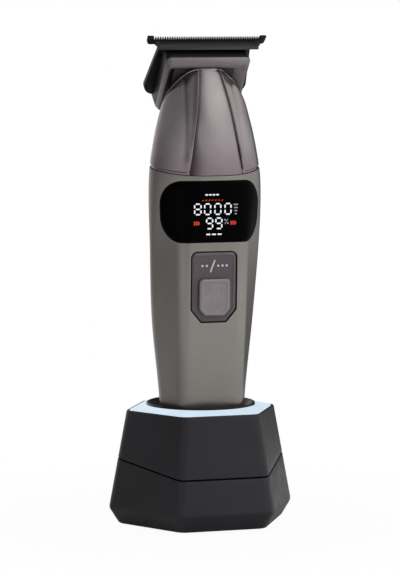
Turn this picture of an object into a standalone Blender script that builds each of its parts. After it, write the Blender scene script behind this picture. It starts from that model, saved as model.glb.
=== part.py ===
# Cordless T-blade body groomer standing in a hexagonal charging dock with a light ring.
# Sizes are millimetres. The dock stands on z = 0, the front looks along -Y and +X is to the right.

import bpy
import bmesh
from math import atan2, cos, hypot, pi, radians, sin, tan
from mathutils import Vector

MM = 0.001
GAP = 0.3  # air between pieces that seat on each other
CUT_REACH = 60.0  # half size of cutters that take all on one side
OVERRUN = 1.0  # cutters run this far past a face

# Handle cross-sections from its underside up: height, half width, front, side line and back of the
# section, half widths of the front and back facets, softening of the edges
STATIONS = (
    (0.0, 15.7, -12.6, -1.0, 9.0, 11.2, 8.0, 3.2),
    (22.0, 16.9, -13.4, -1.0, 9.2, 11.4, 8.2, 3.2),
    (50.0, 19.9, -15.3, -1.5, 9.6, 11.7, 9.0, 3.2),
    (78.0, 21.5, -16.4, -4.6, 9.6, 11.7, 9.2, 3.2),
    (100.0, 23.6, -16.9, -5.0, 9.6, 11.2, 9.0, 8.0),
    (112.0, 22.3, -17.4, -3.6, 8.9, 10.0, 8.2, 9.0),
    (122.0, 19.7, -16.5, -2.9, 7.4, 8.4, 7.0, 9.0),
    (130.0, 16.9, -14.2, -3.2, 5.8, 6.8, 5.5, 9.0),
    (138.0, 10.7, -10.8, -3.9, 3.4, 4.4, 3.6, 9.0),
    (142.0, 6.3, -9.4, -3.9, 1.5, 2.8, 2.0, 9.0),
)
HANDLE_LENGTH = STATIONS[-1][0]
HANDLE_SCALE = 1.0  # width and depth of every section

# Dock, a hexagon with its corners on the X axis and a flat front; radii are to its corners.
# Its sizes follow from the handle's foot: well, light ring, rim, flare.
WELL_MARGIN = 3.65  # from the handle's foot to the round edge of the well
WELL_RADIUS = STATIONS[0][1] * HANDLE_SCALE + WELL_MARGIN
RING_WIDTH = 7.95  # at the corners
RING_RADIUS = WELL_RADIUS + RING_WIDTH
DOCK_RIM = 1.1
DOCK_TOP_RADIUS = RING_RADIUS + DOCK_RIM
DOCK_FLARE = 6.7
DOCK_WIDE_RADIUS = DOCK_TOP_RADIUS + DOCK_FLARE
DOCK_TUCK = 3.8
DOCK_BOTTOM_RADIUS = DOCK_WIDE_RADIUS - DOCK_TUCK
PLATE_BORDER = 3.7
PLATE_RADIUS = DOCK_BOTTOM_RADIUS - PLATE_BORDER
FOOT_HEIGHT = 0.7
FOOT_RADIUS = 3.5
FOOT_INSET_X = 16.1
FOOT_INSET_Y = 11.1
FOOT_SPREAD_X = PLATE_RADIUS - FOOT_INSET_X
FOOT_SPREAD_Y = PLATE_RADIUS - FOOT_INSET_Y
DOCK_FLOOR = FOOT_HEIGHT + GAP
DOCK_WIDE_LEVEL = 6.9
DOCK_TOP_LEVEL = 42.0
DOCK_WALL = 2.0
DOCK_EDGE = 4.0  # softening of the upright edges
DOCK_SEAM_LEVEL = 24.7  # at the side corners
DOCK_SEAM_TILT = radians(9.9)  # the seam falls towards the front
DOCK_SEAM_GAP = 0.4
LEDGE_THICK = 2.0
PLATE_THICK = 1.8
DOCK_SCREW_RADIUS = 1.2
DOCK_SCREW_HEAD = 2.2
DOCK_SCREW_HEAD_HEIGHT = 0.9
DOCK_SCREW_INSET = 7.6
DOCK_SCREW_X = PLATE_RADIUS - DOCK_SCREW_INSET
LEDGE_LAP = 1.0  # the ledge reaches this far in past the screws' axes
LEDGE_RADIUS = DOCK_SCREW_X - LEDGE_LAP

# Light ring, from a hexagon up to a round inner edge
RING_RISE = 1.9
RING_THICK = 1.6
RING_SEAT_DEPTH = 1.7
TOP_PLATE_THICK = 2.0

# Well that the handle stands in
SEAT_LEVEL = 25.0  # underside of the handle
WELL_CLEARANCE = 0.5
WELL_WALL = 1.6
WELL_LIP = 0.9
FUNNEL_DEPTH = 4.0
FLANGE_REACH = 2.5
FLANGE_THICK = 1.5

# Charging contacts and dock electronics
CONTACT_SPREAD = 5.0
CONTACT_Y = -2.0
PIN_RADIUS = 0.8
PIN_STROKE = 0.8
PAD_RADIUS = 2.0
PAD_THICK = 0.8
BLOCK_SIZE = (17.0, 8.0, 5.5)
BOARD_HALF_WIDTH = 15.0
BOARD_FRONT = -14.0
BOARD_BACK = 23.0
BOARD_THICK = 1.6
BOARD_LEVEL = 9.6
BOARD_POST_RADIUS = 2.2
BOARD_POST_X = 7.5
BOARD_POST_FRONT = -10.0
BOARD_POST_BACK = 13.0
INLET_SIZE = (9.0, 8.0, 3.3)
INLET_WALL = 0.5
INLET_CORNER = 1.48
TONGUE_WIDTH = 6.2
TONGUE_THICK = 0.7
INLET_SETBACK = 0.6

# How the handle is sampled and joined
CORNER_STEPS = 5
CORNER_SHARE = 0.48  # of a side, at most, that one corner takes
HANDLE_STEP = 6.0  # between cross-sections
SKIN_STEP = 5.0
BORE_STEP = 9.0
NOSE_STEP = 3.6
SKIN_CLEAR = 3.0  # cutters that follow the skin stand this far outside it
SLEEVE_WALL = 2.0
SEAM_FRONT_HEIGHT = 101.9  # joint between sleeve and nose, at the front facet
SEAM_SLOPE = 0.25  # rise towards the back
SEAM_GAP = 0.4
SEAM_RISE = 10.0  # the joint climbs less than this on its way back
CAP_FLANGE = 2.0
CAP_PLUG = 5.5
CAP_PLUG_WALL = 2.4

# Display lens and switch on the front
LENS_HALF_WIDTH = 19.4
LENS_BOTTOM = 78.4
LENS_TOP = 100.0
LENS_CORNER_X = 5.6
LENS_CORNER_Z = 8.0
LENS_PROUD = 0.8
LENS_THICK = 1.6
WINDOW_HALF_WIDTH = 8.4
WINDOW_MARGIN = 3.5
WINDOW_CORNER = 1.5
DISPLAY_THICK = 1.2
DISPLAY_OVERLAP = 0.6
DISPLAY_SETBACK = 1.0  # behind the sleeve wall, clear of its soft inner edges
PLATE_HALF_WIDTH = 8.2
PLATE_BOTTOM = 49.8
PLATE_TOP = 74.6
PLATE_CORNER = 3.65
CORNER_RISE = 1.2  # rise over run of the cut lower corners
PLATE_PIECE_THICK = 0.8
THUMB_HALF_WIDTH = 5.8
THUMB_BOTTOM = 51.8
THUMB_TOP = 65.3
THUMB_CORNER = 2.0
THUMB_PROUD = 1.7
THUMB_RIM = 1.3
THUMB_DISH = 0.5
SWITCH_TRAVEL = 5.0
STEM_SIZE = (2.6, 3.0)
STEM_RISE = 5.0  # from the thumb's lower edge to its stem
SWITCH_WIDTH = 7.0
SWITCH_HEIGHT = 12.0
SWITCH_AIR = 0.6  # between the slide switch and the wall in front of it

# Inside the handle
CELL_RADIUS = 7.1
CELL_LENGTH = 49.0
CELL_NUB_RADIUS = 2.8
CELL_NUB_HEIGHT = 0.8
CRADLE_WALL = 1.3
CRADLE_AIR = 0.5  # behind the cradle, at the handle's foot
CRADLE_OPEN = 3.0  # the cradle stops this far in front of the cell's axis
CRADLE_FOOT = 2.4
MAIN_BOARD_THICK = 1.0
MAIN_BOARD_HALF_WIDTH = 8.5
MAIN_BOARD_TOP = 66.0
MOTOR_RADIUS = 7.5
MOTOR_BOTTOM = 92.0
MOTOR_LENGTH = 26.0
MOTOR_Y = -4.2
MOTOR_EDGE = 0.6
MOTOR_BOSS_RADIUS = 3.0
MOTOR_BOSS_HEIGHT = 1.2
MOUNT_THICK = 4.0
MOUNT_DROP = 1.0  # the mount's top lies this far below the motor's
SHAFT_RADIUS = 1.0
SHAFT_SUNK = 5.0  # length of shaft inside the motor
CAM_RADIUS = 2.8
CAM_THICK = 3.0
CAM_RISE = 6.6  # from the motor's top to the cam
CAM_ROOF = 1.0  # left above the shaft's bore
CRANK_RADIUS = 1.0  # throw of the eccentric pin, half the cutter's stroke
CRANK_PIN_RADIUS = 1.0
CRANK_PIN_LENGTH = 5.2
FORK_CLEARANCE = 0.15  # each side of the crank pin

# Nose cone
NOSE_WALL = 2.0
BAND_HALF_WIDTH_LOW = 11.1
BAND_HALF_WIDTH_TOP = 2.5
BAND_DEPTH = 0.6  # the middle band lies this far below the side panels

# Head frame: origin at the middle of the tooth tips, tilted towards the front. In it z runs along the
# blade to the tips and y runs through the blade to the back.
HEAD_TILT = radians(40.0)
TIP_Y = -8.7
TIP_HEIGHT = 151.6
BLADE_THICK = 1.8
BLADE_TIP_THICK = 0.5
BLADE_HALF_WIDTH = 22.2
BLADE_WIDE_DEPTH = 4.2
BLADE_END_SLANT = 0.8  # the ends lean in towards the heel
BLADE_END_RADIUS = 1.5
BLADE_NECK_HALF_WIDTH = 17.0
BLADE_HEEL_HALF_WIDTH = 19.2
BLADE_LENGTH = 28.0
BLADE_HEEL_RADIUS = 4.5
BLADE_NECK_EDGE = 0.8
TOOTH_PITCH = 0.88
TOOTH_GAP = 0.36
TOOTH_DEPTH = 2.2
BLADE_TEETH = 46
CUTTER_TEETH = 42
CUTTER_HALF_WIDTH = 19.7
CUTTER_END_SLANT = 1.0  # the ends lean in towards the lower edge
CUTTER_SETBACK = 0.5  # cutter tips behind the blade tips
CUTTER_WEDGE_DEPTH = 3.2
CUTTER_WEDGE_THICK = 3.9
CUTTER_UNDERCUT = 1.0
CUTTER_TIP_THICK = 0.25
CUTTER_THICK = 1.3
CUTTER_STEM_HALF_WIDTH = 8.0
CUTTER_LENGTH = 20.0
HOOD_HALF_WIDTH = 15.7
HOOD_TOP = -5.1
HOOD_BOTTOM = -28.0
HOOD_DEPTH = 8.0
HOOD_EDGE_TOP = 2.1
HOOD_EDGE_SIDE = 1.2
HOOD_RIM = 1.3
HOOD_FLOOR_THICK = 2.0
HOOD_POCKET_RADIUS = 1.6
HOOD_CORNER = 1.8
HOOD_FRONT_CORNER = 1.2
CHANNEL_SPARE = 3.0  # behind the cutter's end
BASE_MARGIN = 0.5  # round the blade base in the hood's pocket
BASE_SETBACK = 1.0
BASE_RECESS = 2.7  # the blade base lies this far inside the hood's open side
NECK_HALF_WIDTH = 5.6
NECK_TOP = -13.8
NECK_BOTTOM = -25.0
NECK_DEPTH = 1.0
NECK_WALL = 1.3
DRIVE_SLOT_CENTRE = -17.5
FORK_HALF_WIDTH = 2.6
FORK_DEPTH = 3.0
FORK_REACH = 12.2  # from the blade to the fork's end
YOKE_SIZE = (8.0, 1.2, 5.5)
BLADE_SCREW_X = 10.9
BLADE_SCREW_Z = -21.0
BLADE_SCREW_RADIUS = 1.0
BLADE_SCREW_HEAD = 2.2
BLADE_SCREW_HEAD_HEIGHT = 1.1
BLADE_SCREW_LENGTH = 6.8
SCREW_CLEARANCE = 0.3
SCREW_EDGE = 0.3
CAP_SCREW_X = 9.5
CAP_SCREW_RADIUS = 1.0
CAP_SCREW_HEAD = 2.0
CAP_SCREW_SEAT = 1.2

for item in list(bpy.data.objects):
    bpy.data.objects.remove(item)


def linear(channel):
    value = channel / 255
    return value / 12.92 if value <= 0.04045 else ((value + 0.055) / 1.055) ** 2.4


def finish(name, colour, roughness, metallic=0.0):
    material = bpy.data.materials.new(name)
    material.use_nodes = True
    shader = material.node_tree.nodes["Principled BSDF"]
    shader.inputs["Base Color"].default_value = [linear(c) for c in colour] + [1.0]
    shader.inputs["Roughness"].default_value = roughness
    shader.inputs["Metallic"].default_value = metallic
    return material


GUNMETAL = finish("handle_gunmetal", (112, 109, 104), 0.38, 0.85)
NOSE_METAL = finish("nose_metal", (138, 130, 130), 0.32, 0.95)
BLADE_BLACK = finish("blade_black", (38, 38, 40), 0.35, 0.8)
LENS_BLACK = finish("lens_black", (8, 8, 9), 0.06)
SWITCH_DARK = finish("switch_dark", (86, 80, 84), 0.4, 0.6)
THUMB_METAL = finish("thumb_metal", (128, 121, 123), 0.38, 0.8)
DOCK_BLACK = finish("dock_black", (40, 40, 43), 0.55)
RING_WHITE = finish("ring_white", (214, 229, 242), 0.45)
LINER_GREY = finish("liner_grey", (70, 66, 68), 0.3)
RUBBER = finish("rubber", (28, 28, 29), 0.85)
STEEL = finish("steel", (176, 176, 178), 0.3, 1.0)
BRASS = finish("contact_gold", (212, 176, 96), 0.3, 1.0)
BOARD_GREEN = finish("board_green", (34, 78, 52), 0.6)
INNER_PLASTIC = finish("inner_plastic", (52, 52, 55), 0.6)
CELL_WRAP = finish("cell_wrap", (58, 92, 140), 0.45)


def frame(name, location, parent=None, tilt=0.0):
    empty = bpy.data.objects.new(name, None)
    bpy.context.collection.objects.link(empty)
    empty.parent = parent
    empty.location = Vector(location) * MM
    empty.rotation_euler = (tilt, 0.0, 0.0)
    return empty


def add(name, mesh, material=None, parent=None):
    bmesh.ops.recalc_face_normals(mesh, faces=mesh.faces)
    data = bpy.data.meshes.new(name)
    mesh.to_mesh(data)
    mesh.free()
    data.shade_smooth()
    data.set_sharp_from_angle(angle=radians(28))
    piece = bpy.data.objects.new(name, data)
    bpy.context.collection.objects.link(piece)
    piece.parent = parent
    if material:
        data.materials.append(material)
    return piece


# Closed solid through rings of equal count, given from the bottom up and counter-clockwise from above
def loft(name, rings, material=None, parent=None, hollow=False):
    mesh = bmesh.new()
    layers = [[mesh.verts.new(Vector(point) * MM) for point in ring] for ring in rings]
    pairs = list(zip(layers, layers[1:]))
    if hollow:
        pairs.append((layers[-1], layers[0]))
    else:
        mesh.faces.new(list(reversed(layers[0])))
        mesh.faces.new(layers[-1])
    count = len(rings[0])
    for low, high in pairs:
        for i in range(count):
            j = (i + 1) % count
            mesh.faces.new((low[i], low[j], high[j], high[i]))
    return add(name, mesh, material, parent)


def block(name, low, high, material=None, parent=None):
    outline = ((low[0], low[1]), (high[0], low[1]), (high[0], high[1]), (low[0], high[1]))
    rings = [[(x, y, level) for x, y in outline] for level in (low[2], high[2])]
    return loft(name, rings, material, parent)


# Upright round bar through (radius, level) steps
def turned(name, centre, steps, material=None, parent=None, sides=16):
    rings = []
    for radius, level in steps:
        turns = [2 * pi * i / sides for i in range(sides)]
        rings.append([(centre[0] + radius * cos(a), centre[1] + radius * sin(a), level) for a in turns])
    return loft(name, rings, material, parent)


# Outline in x and z, extruded along y
def front_prism(name, outline, near, far, material=None, parent=None):
    rings = [[(x, y, z) for x, z in outline] for y in (near, far)]
    return loft(name, rings, material, parent)


# Round bar along y through (radius, y) steps
def turned_through(name, centre, steps, material=None, parent=None, sides=16):
    rings = []
    for radius, y in steps:
        turns = [2 * pi * i / sides for i in range(sides)]
        rings.append([(centre[0] + radius * cos(a), y, centre[1] + radius * sin(a)) for a in turns])
    return loft(name, rings, material, parent)


# Boolean of two pieces; the tool is used up
def carve(piece, tool, operation="DIFFERENCE"):
    step = piece.modifiers.new("carve", "BOOLEAN")
    step.operation = operation
    step.solver = "EXACT"
    step.object = tool
    bpy.context.view_layer.update()
    graph = bpy.context.evaluated_depsgraph_get()
    shaped = bpy.data.meshes.new_from_object(piece.evaluated_get(graph))
    piece.modifiers.clear()
    piece.data = shaped
    bpy.data.objects.remove(tool)
    return piece


def join(piece, tool):
    return carve(piece, tool, "UNION")


def keep(piece, tool):
    return carve(piece, tool, "INTERSECT")


# Convex outline moved outwards
def grow(points, distance):
    grown = []
    for i, point in enumerate(points):
        before = (point - points[i - 1]).normalized()
        after = (points[(i + 1) % len(points)] - point).normalized()
        first = Vector((before.y, -before.x))
        second = Vector((after.y, -after.x))
        grown.append(point + (first + second) * distance / (1 + first.dot(second)))
    return grown


# Corners as curves that start a set length before each corner, and flats cut into equal runs
def soften(points, length, steps, runs=1):
    outline = []
    for i, point in enumerate(points):
        before = points[i - 1] - point
        after = points[(i + 1) % len(points)] - point
        trim = min(length, CORNER_SHARE * before.length, CORNER_SHARE * after.length)
        start = point + before.normalized() * trim
        end = point + after.normalized() * trim
        for k in range(steps):
            s = k / (steps - 1)
            outline.append(start * (1 - s) ** 2 + point * (2 * s * (1 - s)) + end * s ** 2)
        following = points[(i + 1) % len(points)]
        next_after = points[(i + 2) % len(points)] - following
        next_trim = min(length, CORNER_SHARE * after.length, CORNER_SHARE * next_after.length)
        next_start = following - after.normalized() * next_trim
        outline += [end.lerp(next_start, k / runs) for k in range(1, runs)]
    return outline


# Outline of a rectangle in two axes with rounded upper and lower corners, counter-clockwise
def rounded(half, low, high, low_radius, high_radius, steps=5):
    outline = []
    corners = (
        (half, low, low_radius, -pi / 2, 1, 1),
        (half, high, high_radius, 0.0, 1, -1),
        (-half, high, high_radius, pi / 2, -1, -1),
        (-half, low, low_radius, pi, -1, 1),
    )
    for x, z, radius, start, side, rise in corners:
        across, up = radius if isinstance(radius, tuple) else (radius, radius)
        if across == 0:
            outline.append((x, z))
            continue
        for k in range(steps):
            turn = start + pi / 2 * k / (steps - 1)
            outline.append((x - side * across + across * cos(turn), z + rise * up + up * sin(turn)))
    return outline


# Smooth curve through one column of the handle's cross-sections
def station(height, column):
    rows = STATIONS
    height = min(max(height, rows[0][0]), rows[-1][0])
    index = max(i for i, row in enumerate(rows[:-1]) if row[0] <= height)
    low = rows[index]
    high = rows[index + 1]
    before = rows[max(index - 1, 0)]
    after = rows[min(index + 2, len(rows) - 1)]
    span = high[0] - low[0]
    s = (height - low[0]) / span
    leave = (high[column] - before[column]) / (high[0] - before[0]) * span
    arrive = (after[column] - low[column]) / (after[0] - low[0]) * span
    blend = 2 * s ** 3 - 3 * s ** 2
    curve = low[column] * (1 + blend) - high[column] * blend
    return curve + leave * (s ** 3 - 2 * s ** 2 + s) + arrive * (s ** 3 - s ** 2)


# One cross-section of the handle, moved out by an offset and placed at a level of its own if given
def section(height, offset=0.0, level=None, runs=1):
    half, front, side, back, front_half, back_half = [
        station(height, column) * HANDLE_SCALE for column in range(1, 7)
    ]
    corners = [
        Vector((-front_half, front)), Vector((front_half, front)), Vector((half, side)),
        Vector((back_half, back)), Vector((-back_half, back)), Vector((-half, side)),
    ]
    outline = soften(grow(corners, offset), station(height, 7), CORNER_STEPS, runs)
    level = height if level is None else level
    return [(point.x, point.y, level) for point in outline]


def front_of(height):
    return station(height, 2) * HANDLE_SCALE


def heights(low, high, step):
    count = max(2, round((high - low) / step) + 1)
    return [low + (high - low) * i / (count - 1) for i in range(count)]


# Solid with the handle's outer form, moved out by an offset
def handle_form(name, low, high, offset=0.0, step=HANDLE_STEP, material=None, parent=None):
    rings = [section(height, offset) for height in heights(low, high, step)]
    return loft(name, rings, material, parent)


# Part of the handle's skin inside an outline seen from the front, between two offsets
def skin(name, outline, outer, inner, material=None, parent=None):
    low = min(z for x, z in outline) - OVERRUN
    high = max(z for x, z in outline) + OVERRUN
    piece = handle_form(name, low, high, outer, SKIN_STEP, material, parent)
    carve(piece, handle_form("core", low - OVERRUN, high + OVERRUN, inner, SKIN_STEP, parent=parent))
    side = station((low + high) / 2, 3) * HANDLE_SCALE
    return keep(piece, front_prism("window", outline, -CUT_REACH, side, parent=parent))


# Sloped block that removes all above or all below the joint of sleeve and nose
def seam_block(shift, upper, parent):
    low, high = (0.0, CUT_REACH) if upper else (-CUT_REACH * 2, 0.0)
    tool = block("seam", (-CUT_REACH, -CUT_REACH, low), (CUT_REACH, CUT_REACH, high), parent=parent)
    level = SEAM_FRONT_HEIGHT - SEAM_SLOPE * front_of(SEAM_FRONT_HEIGHT) + shift
    tool.location = (0.0, 0.0, level * MM)
    tool.rotation_euler = (atan2(SEAM_SLOPE, 1.0), 0.0, 0.0)
    return tool


# Dock

def dock_radius(level):
    share = (level - DOCK_WIDE_LEVEL) / (DOCK_TOP_LEVEL - DOCK_WIDE_LEVEL)
    return DOCK_WIDE_RADIUS + (DOCK_TOP_RADIUS - DOCK_WIDE_RADIUS) * share


def hexagon(radius, level):
    corners = [Vector((radius * cos(k * pi / 3), radius * sin(k * pi / 3))) for k in range(6)]
    return [(point.x, point.y, level) for point in soften(corners, DOCK_EDGE, 4, 3)]


# Circle whose points lie in the same directions as those of a ring
def circle_like(ring, radius, level):
    return [(radius * x / hypot(x, y), radius * y / hypot(x, y), level) for x, y, z in ring]


def dock_seam(shift, upper):
    low, high = (0.0, CUT_REACH) if upper else (-CUT_REACH, 0.0)
    tool = block("seam", (-CUT_REACH, -CUT_REACH, low), (CUT_REACH, CUT_REACH, high))
    tool.location = (0.0, 0.0, (DOCK_SEAM_LEVEL + shift) * MM)
    tool.rotation_euler = (DOCK_SEAM_TILT, 0.0, 0.0)
    return tool


CORNER_WALL = DOCK_WALL / cos(pi / 6)
SEAM_REACH = DOCK_WIDE_RADIUS * tan(DOCK_SEAM_TILT) + OVERRUN
LEDGE_BOTTOM = DOCK_FLOOR + PLATE_THICK + GAP
LEDGE_TOP = LEDGE_BOTTOM + LEDGE_THICK
RING_SEAT = DOCK_TOP_LEVEL - RING_SEAT_DEPTH
WELL_TOP = RING_SEAT + GAP + RING_THICK + RING_RISE - GAP * 2
INLET_LEVEL = BOARD_LEVEL + BOARD_THICK + GAP
INLET_BACK = dock_radius(INLET_LEVEL + INLET_SIZE[2]) * cos(pi / 6) - INLET_SETBACK


def build_dock_lower():
    top = DOCK_SEAM_LEVEL + SEAM_REACH
    share = (LEDGE_TOP - DOCK_FLOOR) / (DOCK_WIDE_LEVEL - DOCK_FLOOR)
    ledge_outer = DOCK_BOTTOM_RADIUS + (DOCK_WIDE_RADIUS - DOCK_BOTTOM_RADIUS) * share
    recess = PLATE_RADIUS + GAP / cos(pi / 6)
    piece = loft("dock_lower_shell", [
        hexagon(DOCK_BOTTOM_RADIUS, DOCK_FLOOR),
        hexagon(DOCK_WIDE_RADIUS, DOCK_WIDE_LEVEL),
        hexagon(dock_radius(top), top),
        hexagon(dock_radius(top) - CORNER_WALL, top),
        hexagon(DOCK_WIDE_RADIUS - CORNER_WALL, DOCK_WIDE_LEVEL),
        hexagon(ledge_outer - CORNER_WALL, LEDGE_TOP),
        hexagon(LEDGE_RADIUS, LEDGE_TOP),
        hexagon(LEDGE_RADIUS, LEDGE_BOTTOM),
        hexagon(recess, LEDGE_BOTTOM),
        hexagon(recess, DOCK_FLOOR),
    ], DOCK_BLACK, hollow=True)
    carve(piece, dock_seam(-DOCK_SEAM_GAP / 2, True))
    width, depth, height = INLET_SIZE
    middle = INLET_LEVEL + height / 2
    mouth = rounded(width / 2 + GAP, middle - height / 2 - GAP, middle + height / 2 + GAP,
                    height / 2, height / 2)
    carve(piece, front_prism("inlet_mouth", mouth, INLET_BACK - depth, CUT_REACH))
    for side in (-1, 1):
        hole = DOCK_SCREW_RADIUS + SCREW_CLEARANCE
        steps = [(hole, 0.0), (hole, LEDGE_TOP + OVERRUN)]
        carve(piece, turned("screw_hole", (side * DOCK_SCREW_X, 0.0), steps))
    return piece


def build_dock_upper():
    bottom = DOCK_SEAM_LEVEL - SEAM_REACH
    plate_bottom = RING_SEAT - TOP_PLATE_THICK
    seat = hexagon(RING_RADIUS + GAP / cos(pi / 6), RING_SEAT)
    opening = WELL_RADIUS + 2 * GAP
    piece = loft("dock_upper_shell", [
        hexagon(dock_radius(bottom), bottom),
        hexagon(DOCK_TOP_RADIUS, DOCK_TOP_LEVEL),
        hexagon(RING_RADIUS + GAP / cos(pi / 6), DOCK_TOP_LEVEL),
        seat,
        circle_like(seat, opening, RING_SEAT),
        circle_like(seat, opening, plate_bottom),
        hexagon(dock_radius(plate_bottom) - CORNER_WALL, plate_bottom),
        hexagon(dock_radius(bottom) - CORNER_WALL, bottom),
    ], DOCK_BLACK, hollow=True)
    return carve(piece, dock_seam(DOCK_SEAM_GAP / 2, False))


def build_light_ring():
    low = RING_SEAT + GAP
    outer = hexagon(RING_RADIUS, low)
    return loft("light_ring", [
        outer,
        hexagon(RING_RADIUS, low + RING_THICK),
        circle_like(outer, WELL_RADIUS, low + RING_THICK + RING_RISE),
        circle_like(outer, WELL_RADIUS, low + RING_RISE),
    ], RING_WHITE, hollow=True)


def build_well_liner():
    flange_top = RING_SEAT - TOP_PLATE_THICK - GAP
    flange_bottom = flange_top - FLANGE_THICK
    floor_top = SEAT_LEVEL - GAP
    floor_bottom = floor_top - WELL_WALL
    funnel_bottom = WELL_TOP - FUNNEL_DEPTH
    outer = WELL_CLEARANCE + WELL_WALL
    rim = section(0.0, outer, runs=4)
    piece = loft("well_liner", [
        section(floor_bottom - SEAT_LEVEL, outer, floor_bottom, runs=4),
        section(flange_bottom - SEAT_LEVEL, outer, flange_bottom, runs=4),
        circle_like(rim, WELL_RADIUS + FLANGE_REACH, flange_bottom),
        circle_like(rim, WELL_RADIUS + FLANGE_REACH, flange_top),
        circle_like(rim, WELL_RADIUS - GAP, flange_top),
        circle_like(rim, WELL_RADIUS - GAP, WELL_TOP),
    ], LINER_GREY)
    mouth = section(0.0, WELL_CLEARANCE, runs=4)
    carve(piece, loft("socket", [
        section(floor_top - SEAT_LEVEL, WELL_CLEARANCE, floor_top, runs=4),
        section(funnel_bottom - SEAT_LEVEL, WELL_CLEARANCE, funnel_bottom, runs=4),
        circle_like(mouth, WELL_RADIUS - GAP - WELL_LIP, WELL_TOP),
        circle_like(mouth, WELL_RADIUS - GAP - WELL_LIP, WELL_TOP + OVERRUN),
    ]))
    for side in (-1, 1):
        hole = PIN_RADIUS + GAP
        centre = (side * CONTACT_SPREAD, CONTACT_Y)
        steps = [(hole, floor_bottom - OVERRUN), (hole, floor_top + OVERRUN)]
        carve(piece, turned("pin_hole", centre, steps))
    return piece


def build_base_plate():
    low = DOCK_FLOOR
    piece = loft("dock_base_plate", [hexagon(PLATE_RADIUS, low), hexagon(PLATE_RADIUS, low + PLATE_THICK)],
                 DOCK_BLACK)
    for x in (-BOARD_POST_X, BOARD_POST_X):
        for y in (BOARD_POST_FRONT, BOARD_POST_BACK):
            steps = [(BOARD_POST_RADIUS, low + PLATE_THICK / 2), (BOARD_POST_RADIUS, BOARD_LEVEL - GAP)]
            join(piece, turned("post", (x, y), steps))
    for side in (-1, 1):
        hole = DOCK_SCREW_RADIUS + SCREW_CLEARANCE
        head = DOCK_SCREW_HEAD + SCREW_CLEARANCE
        depth = low + DOCK_SCREW_HEAD_HEIGHT
        steps = [(head, low - OVERRUN), (head, depth), (hole, depth), (hole, low + PLATE_THICK + OVERRUN)]
        carve(piece, turned("screw_seat", (side * DOCK_SCREW_X, 0.0), steps))
    return piece


def build_dock_screws():
    low = DOCK_FLOOR
    neck = low + DOCK_SCREW_HEAD_HEIGHT - GAP
    for name, side in (("left", -1), ("right", 1)):
        steps = [(DOCK_SCREW_HEAD, low), (DOCK_SCREW_HEAD, neck),
                 (DOCK_SCREW_RADIUS, neck), (DOCK_SCREW_RADIUS, LEDGE_TOP)]
        turned("dock_screw_" + name, (side * DOCK_SCREW_X, 0.0), steps, STEEL)


def build_feet():
    for front_name, row in (("front", -1), ("back", 1)):
        for side_name, side in (("left", -1), ("right", 1)):
            centre = (side * FOOT_SPREAD_X, row * FOOT_SPREAD_Y)
            steps = [(FOOT_RADIUS, 0.0), (FOOT_RADIUS, FOOT_HEIGHT)]
            turned("foot_" + front_name + "_" + side_name, centre, steps, RUBBER, sides=24)


def build_dock_electronics():
    low = (-BOARD_HALF_WIDTH, BOARD_FRONT, BOARD_LEVEL)
    high = (BOARD_HALF_WIDTH, BOARD_BACK, BOARD_LEVEL + BOARD_THICK)
    block("dock_board", low, high, BOARD_GREEN)
    width, depth, height = INLET_SIZE
    top = INLET_LEVEL + height
    outline = rounded(width / 2, INLET_LEVEL, top, INLET_CORNER, INLET_CORNER)
    inlet = front_prism("usb_inlet", outline, INLET_BACK - depth, INLET_BACK, STEEL)
    corner = INLET_CORNER - INLET_WALL
    inner = rounded(width / 2 - INLET_WALL, INLET_LEVEL + INLET_WALL, top - INLET_WALL, corner, corner)
    carve(inlet, front_prism("socket", inner, INLET_BACK - depth + INLET_WALL, INLET_BACK + OVERRUN))
    middle = INLET_LEVEL + height / 2
    low = (-TONGUE_WIDTH / 2, INLET_BACK - depth + INLET_WALL / 2, middle - TONGUE_THICK / 2)
    high = (TONGUE_WIDTH / 2, INLET_BACK - INLET_SETBACK, middle + TONGUE_THICK / 2)
    join(inlet, block("tongue", low, high))


def build_contacts():
    floor_bottom = SEAT_LEVEL - GAP - WELL_WALL
    top = floor_bottom - GAP
    width, depth, height = BLOCK_SIZE
    low = (-width / 2, CONTACT_Y - depth / 2, top - height)
    housing = block("contact_block", low, (width / 2, CONTACT_Y + depth / 2, top), INNER_PLASTIC)
    pin_bottom = top - height + 2 * PIN_STROKE
    for name, side in (("left", -1), ("right", 1)):
        centre = (side * CONTACT_SPREAD, CONTACT_Y)
        hole = PIN_RADIUS + GAP
        steps = [(hole, pin_bottom - PIN_STROKE - GAP), (hole, top + OVERRUN)]
        carve(housing, turned("pin_hole", centre, steps))
        place = frame("pin_axis_" + name, (centre[0], centre[1], 0.0))
        steps = [(PIN_RADIUS, pin_bottom), (PIN_RADIUS, SEAT_LEVEL - PIN_RADIUS / 2),
                 (PIN_RADIUS / 2, SEAT_LEVEL)]
        turned("contact_pin_" + name, (0.0, 0.0), steps, BRASS, place)


# Handle

SLEEVE_BOTTOM = CAP_FLANGE + GAP
PLUG_TOP = CAP_FLANGE + CAP_PLUG
CRADLE_BOTTOM = PLUG_TOP + GAP
CELL_BOTTOM = CRADLE_BOTTOM + CRADLE_FOOT + GAP
MOTOR_TOP = MOTOR_BOTTOM + MOTOR_LENGTH
CAM_BOTTOM = MOTOR_TOP + CAM_RISE
CAM_TOP = CAM_BOTTOM + CAM_THICK
STEM_BOTTOM = THUMB_BOTTOM + STEM_RISE
SWITCH_BOTTOM = STEM_BOTTOM - SWITCH_HEIGHT / 4
CELL_BACK = STATIONS[0][4] * HANDLE_SCALE - SLEEVE_WALL - CRADLE_AIR - CRADLE_WALL - GAP
CELL_Y = CELL_BACK - CELL_RADIUS
BOARD_Y = CELL_Y - CELL_RADIUS - GAP  # back face of the main board
SWITCH_Y = BOARD_Y - MAIN_BOARD_THICK - GAP  # back face of the slide switch
SWITCH_FRONT = front_of(SWITCH_BOTTOM) + SLEEVE_WALL + SWITCH_AIR


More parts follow.
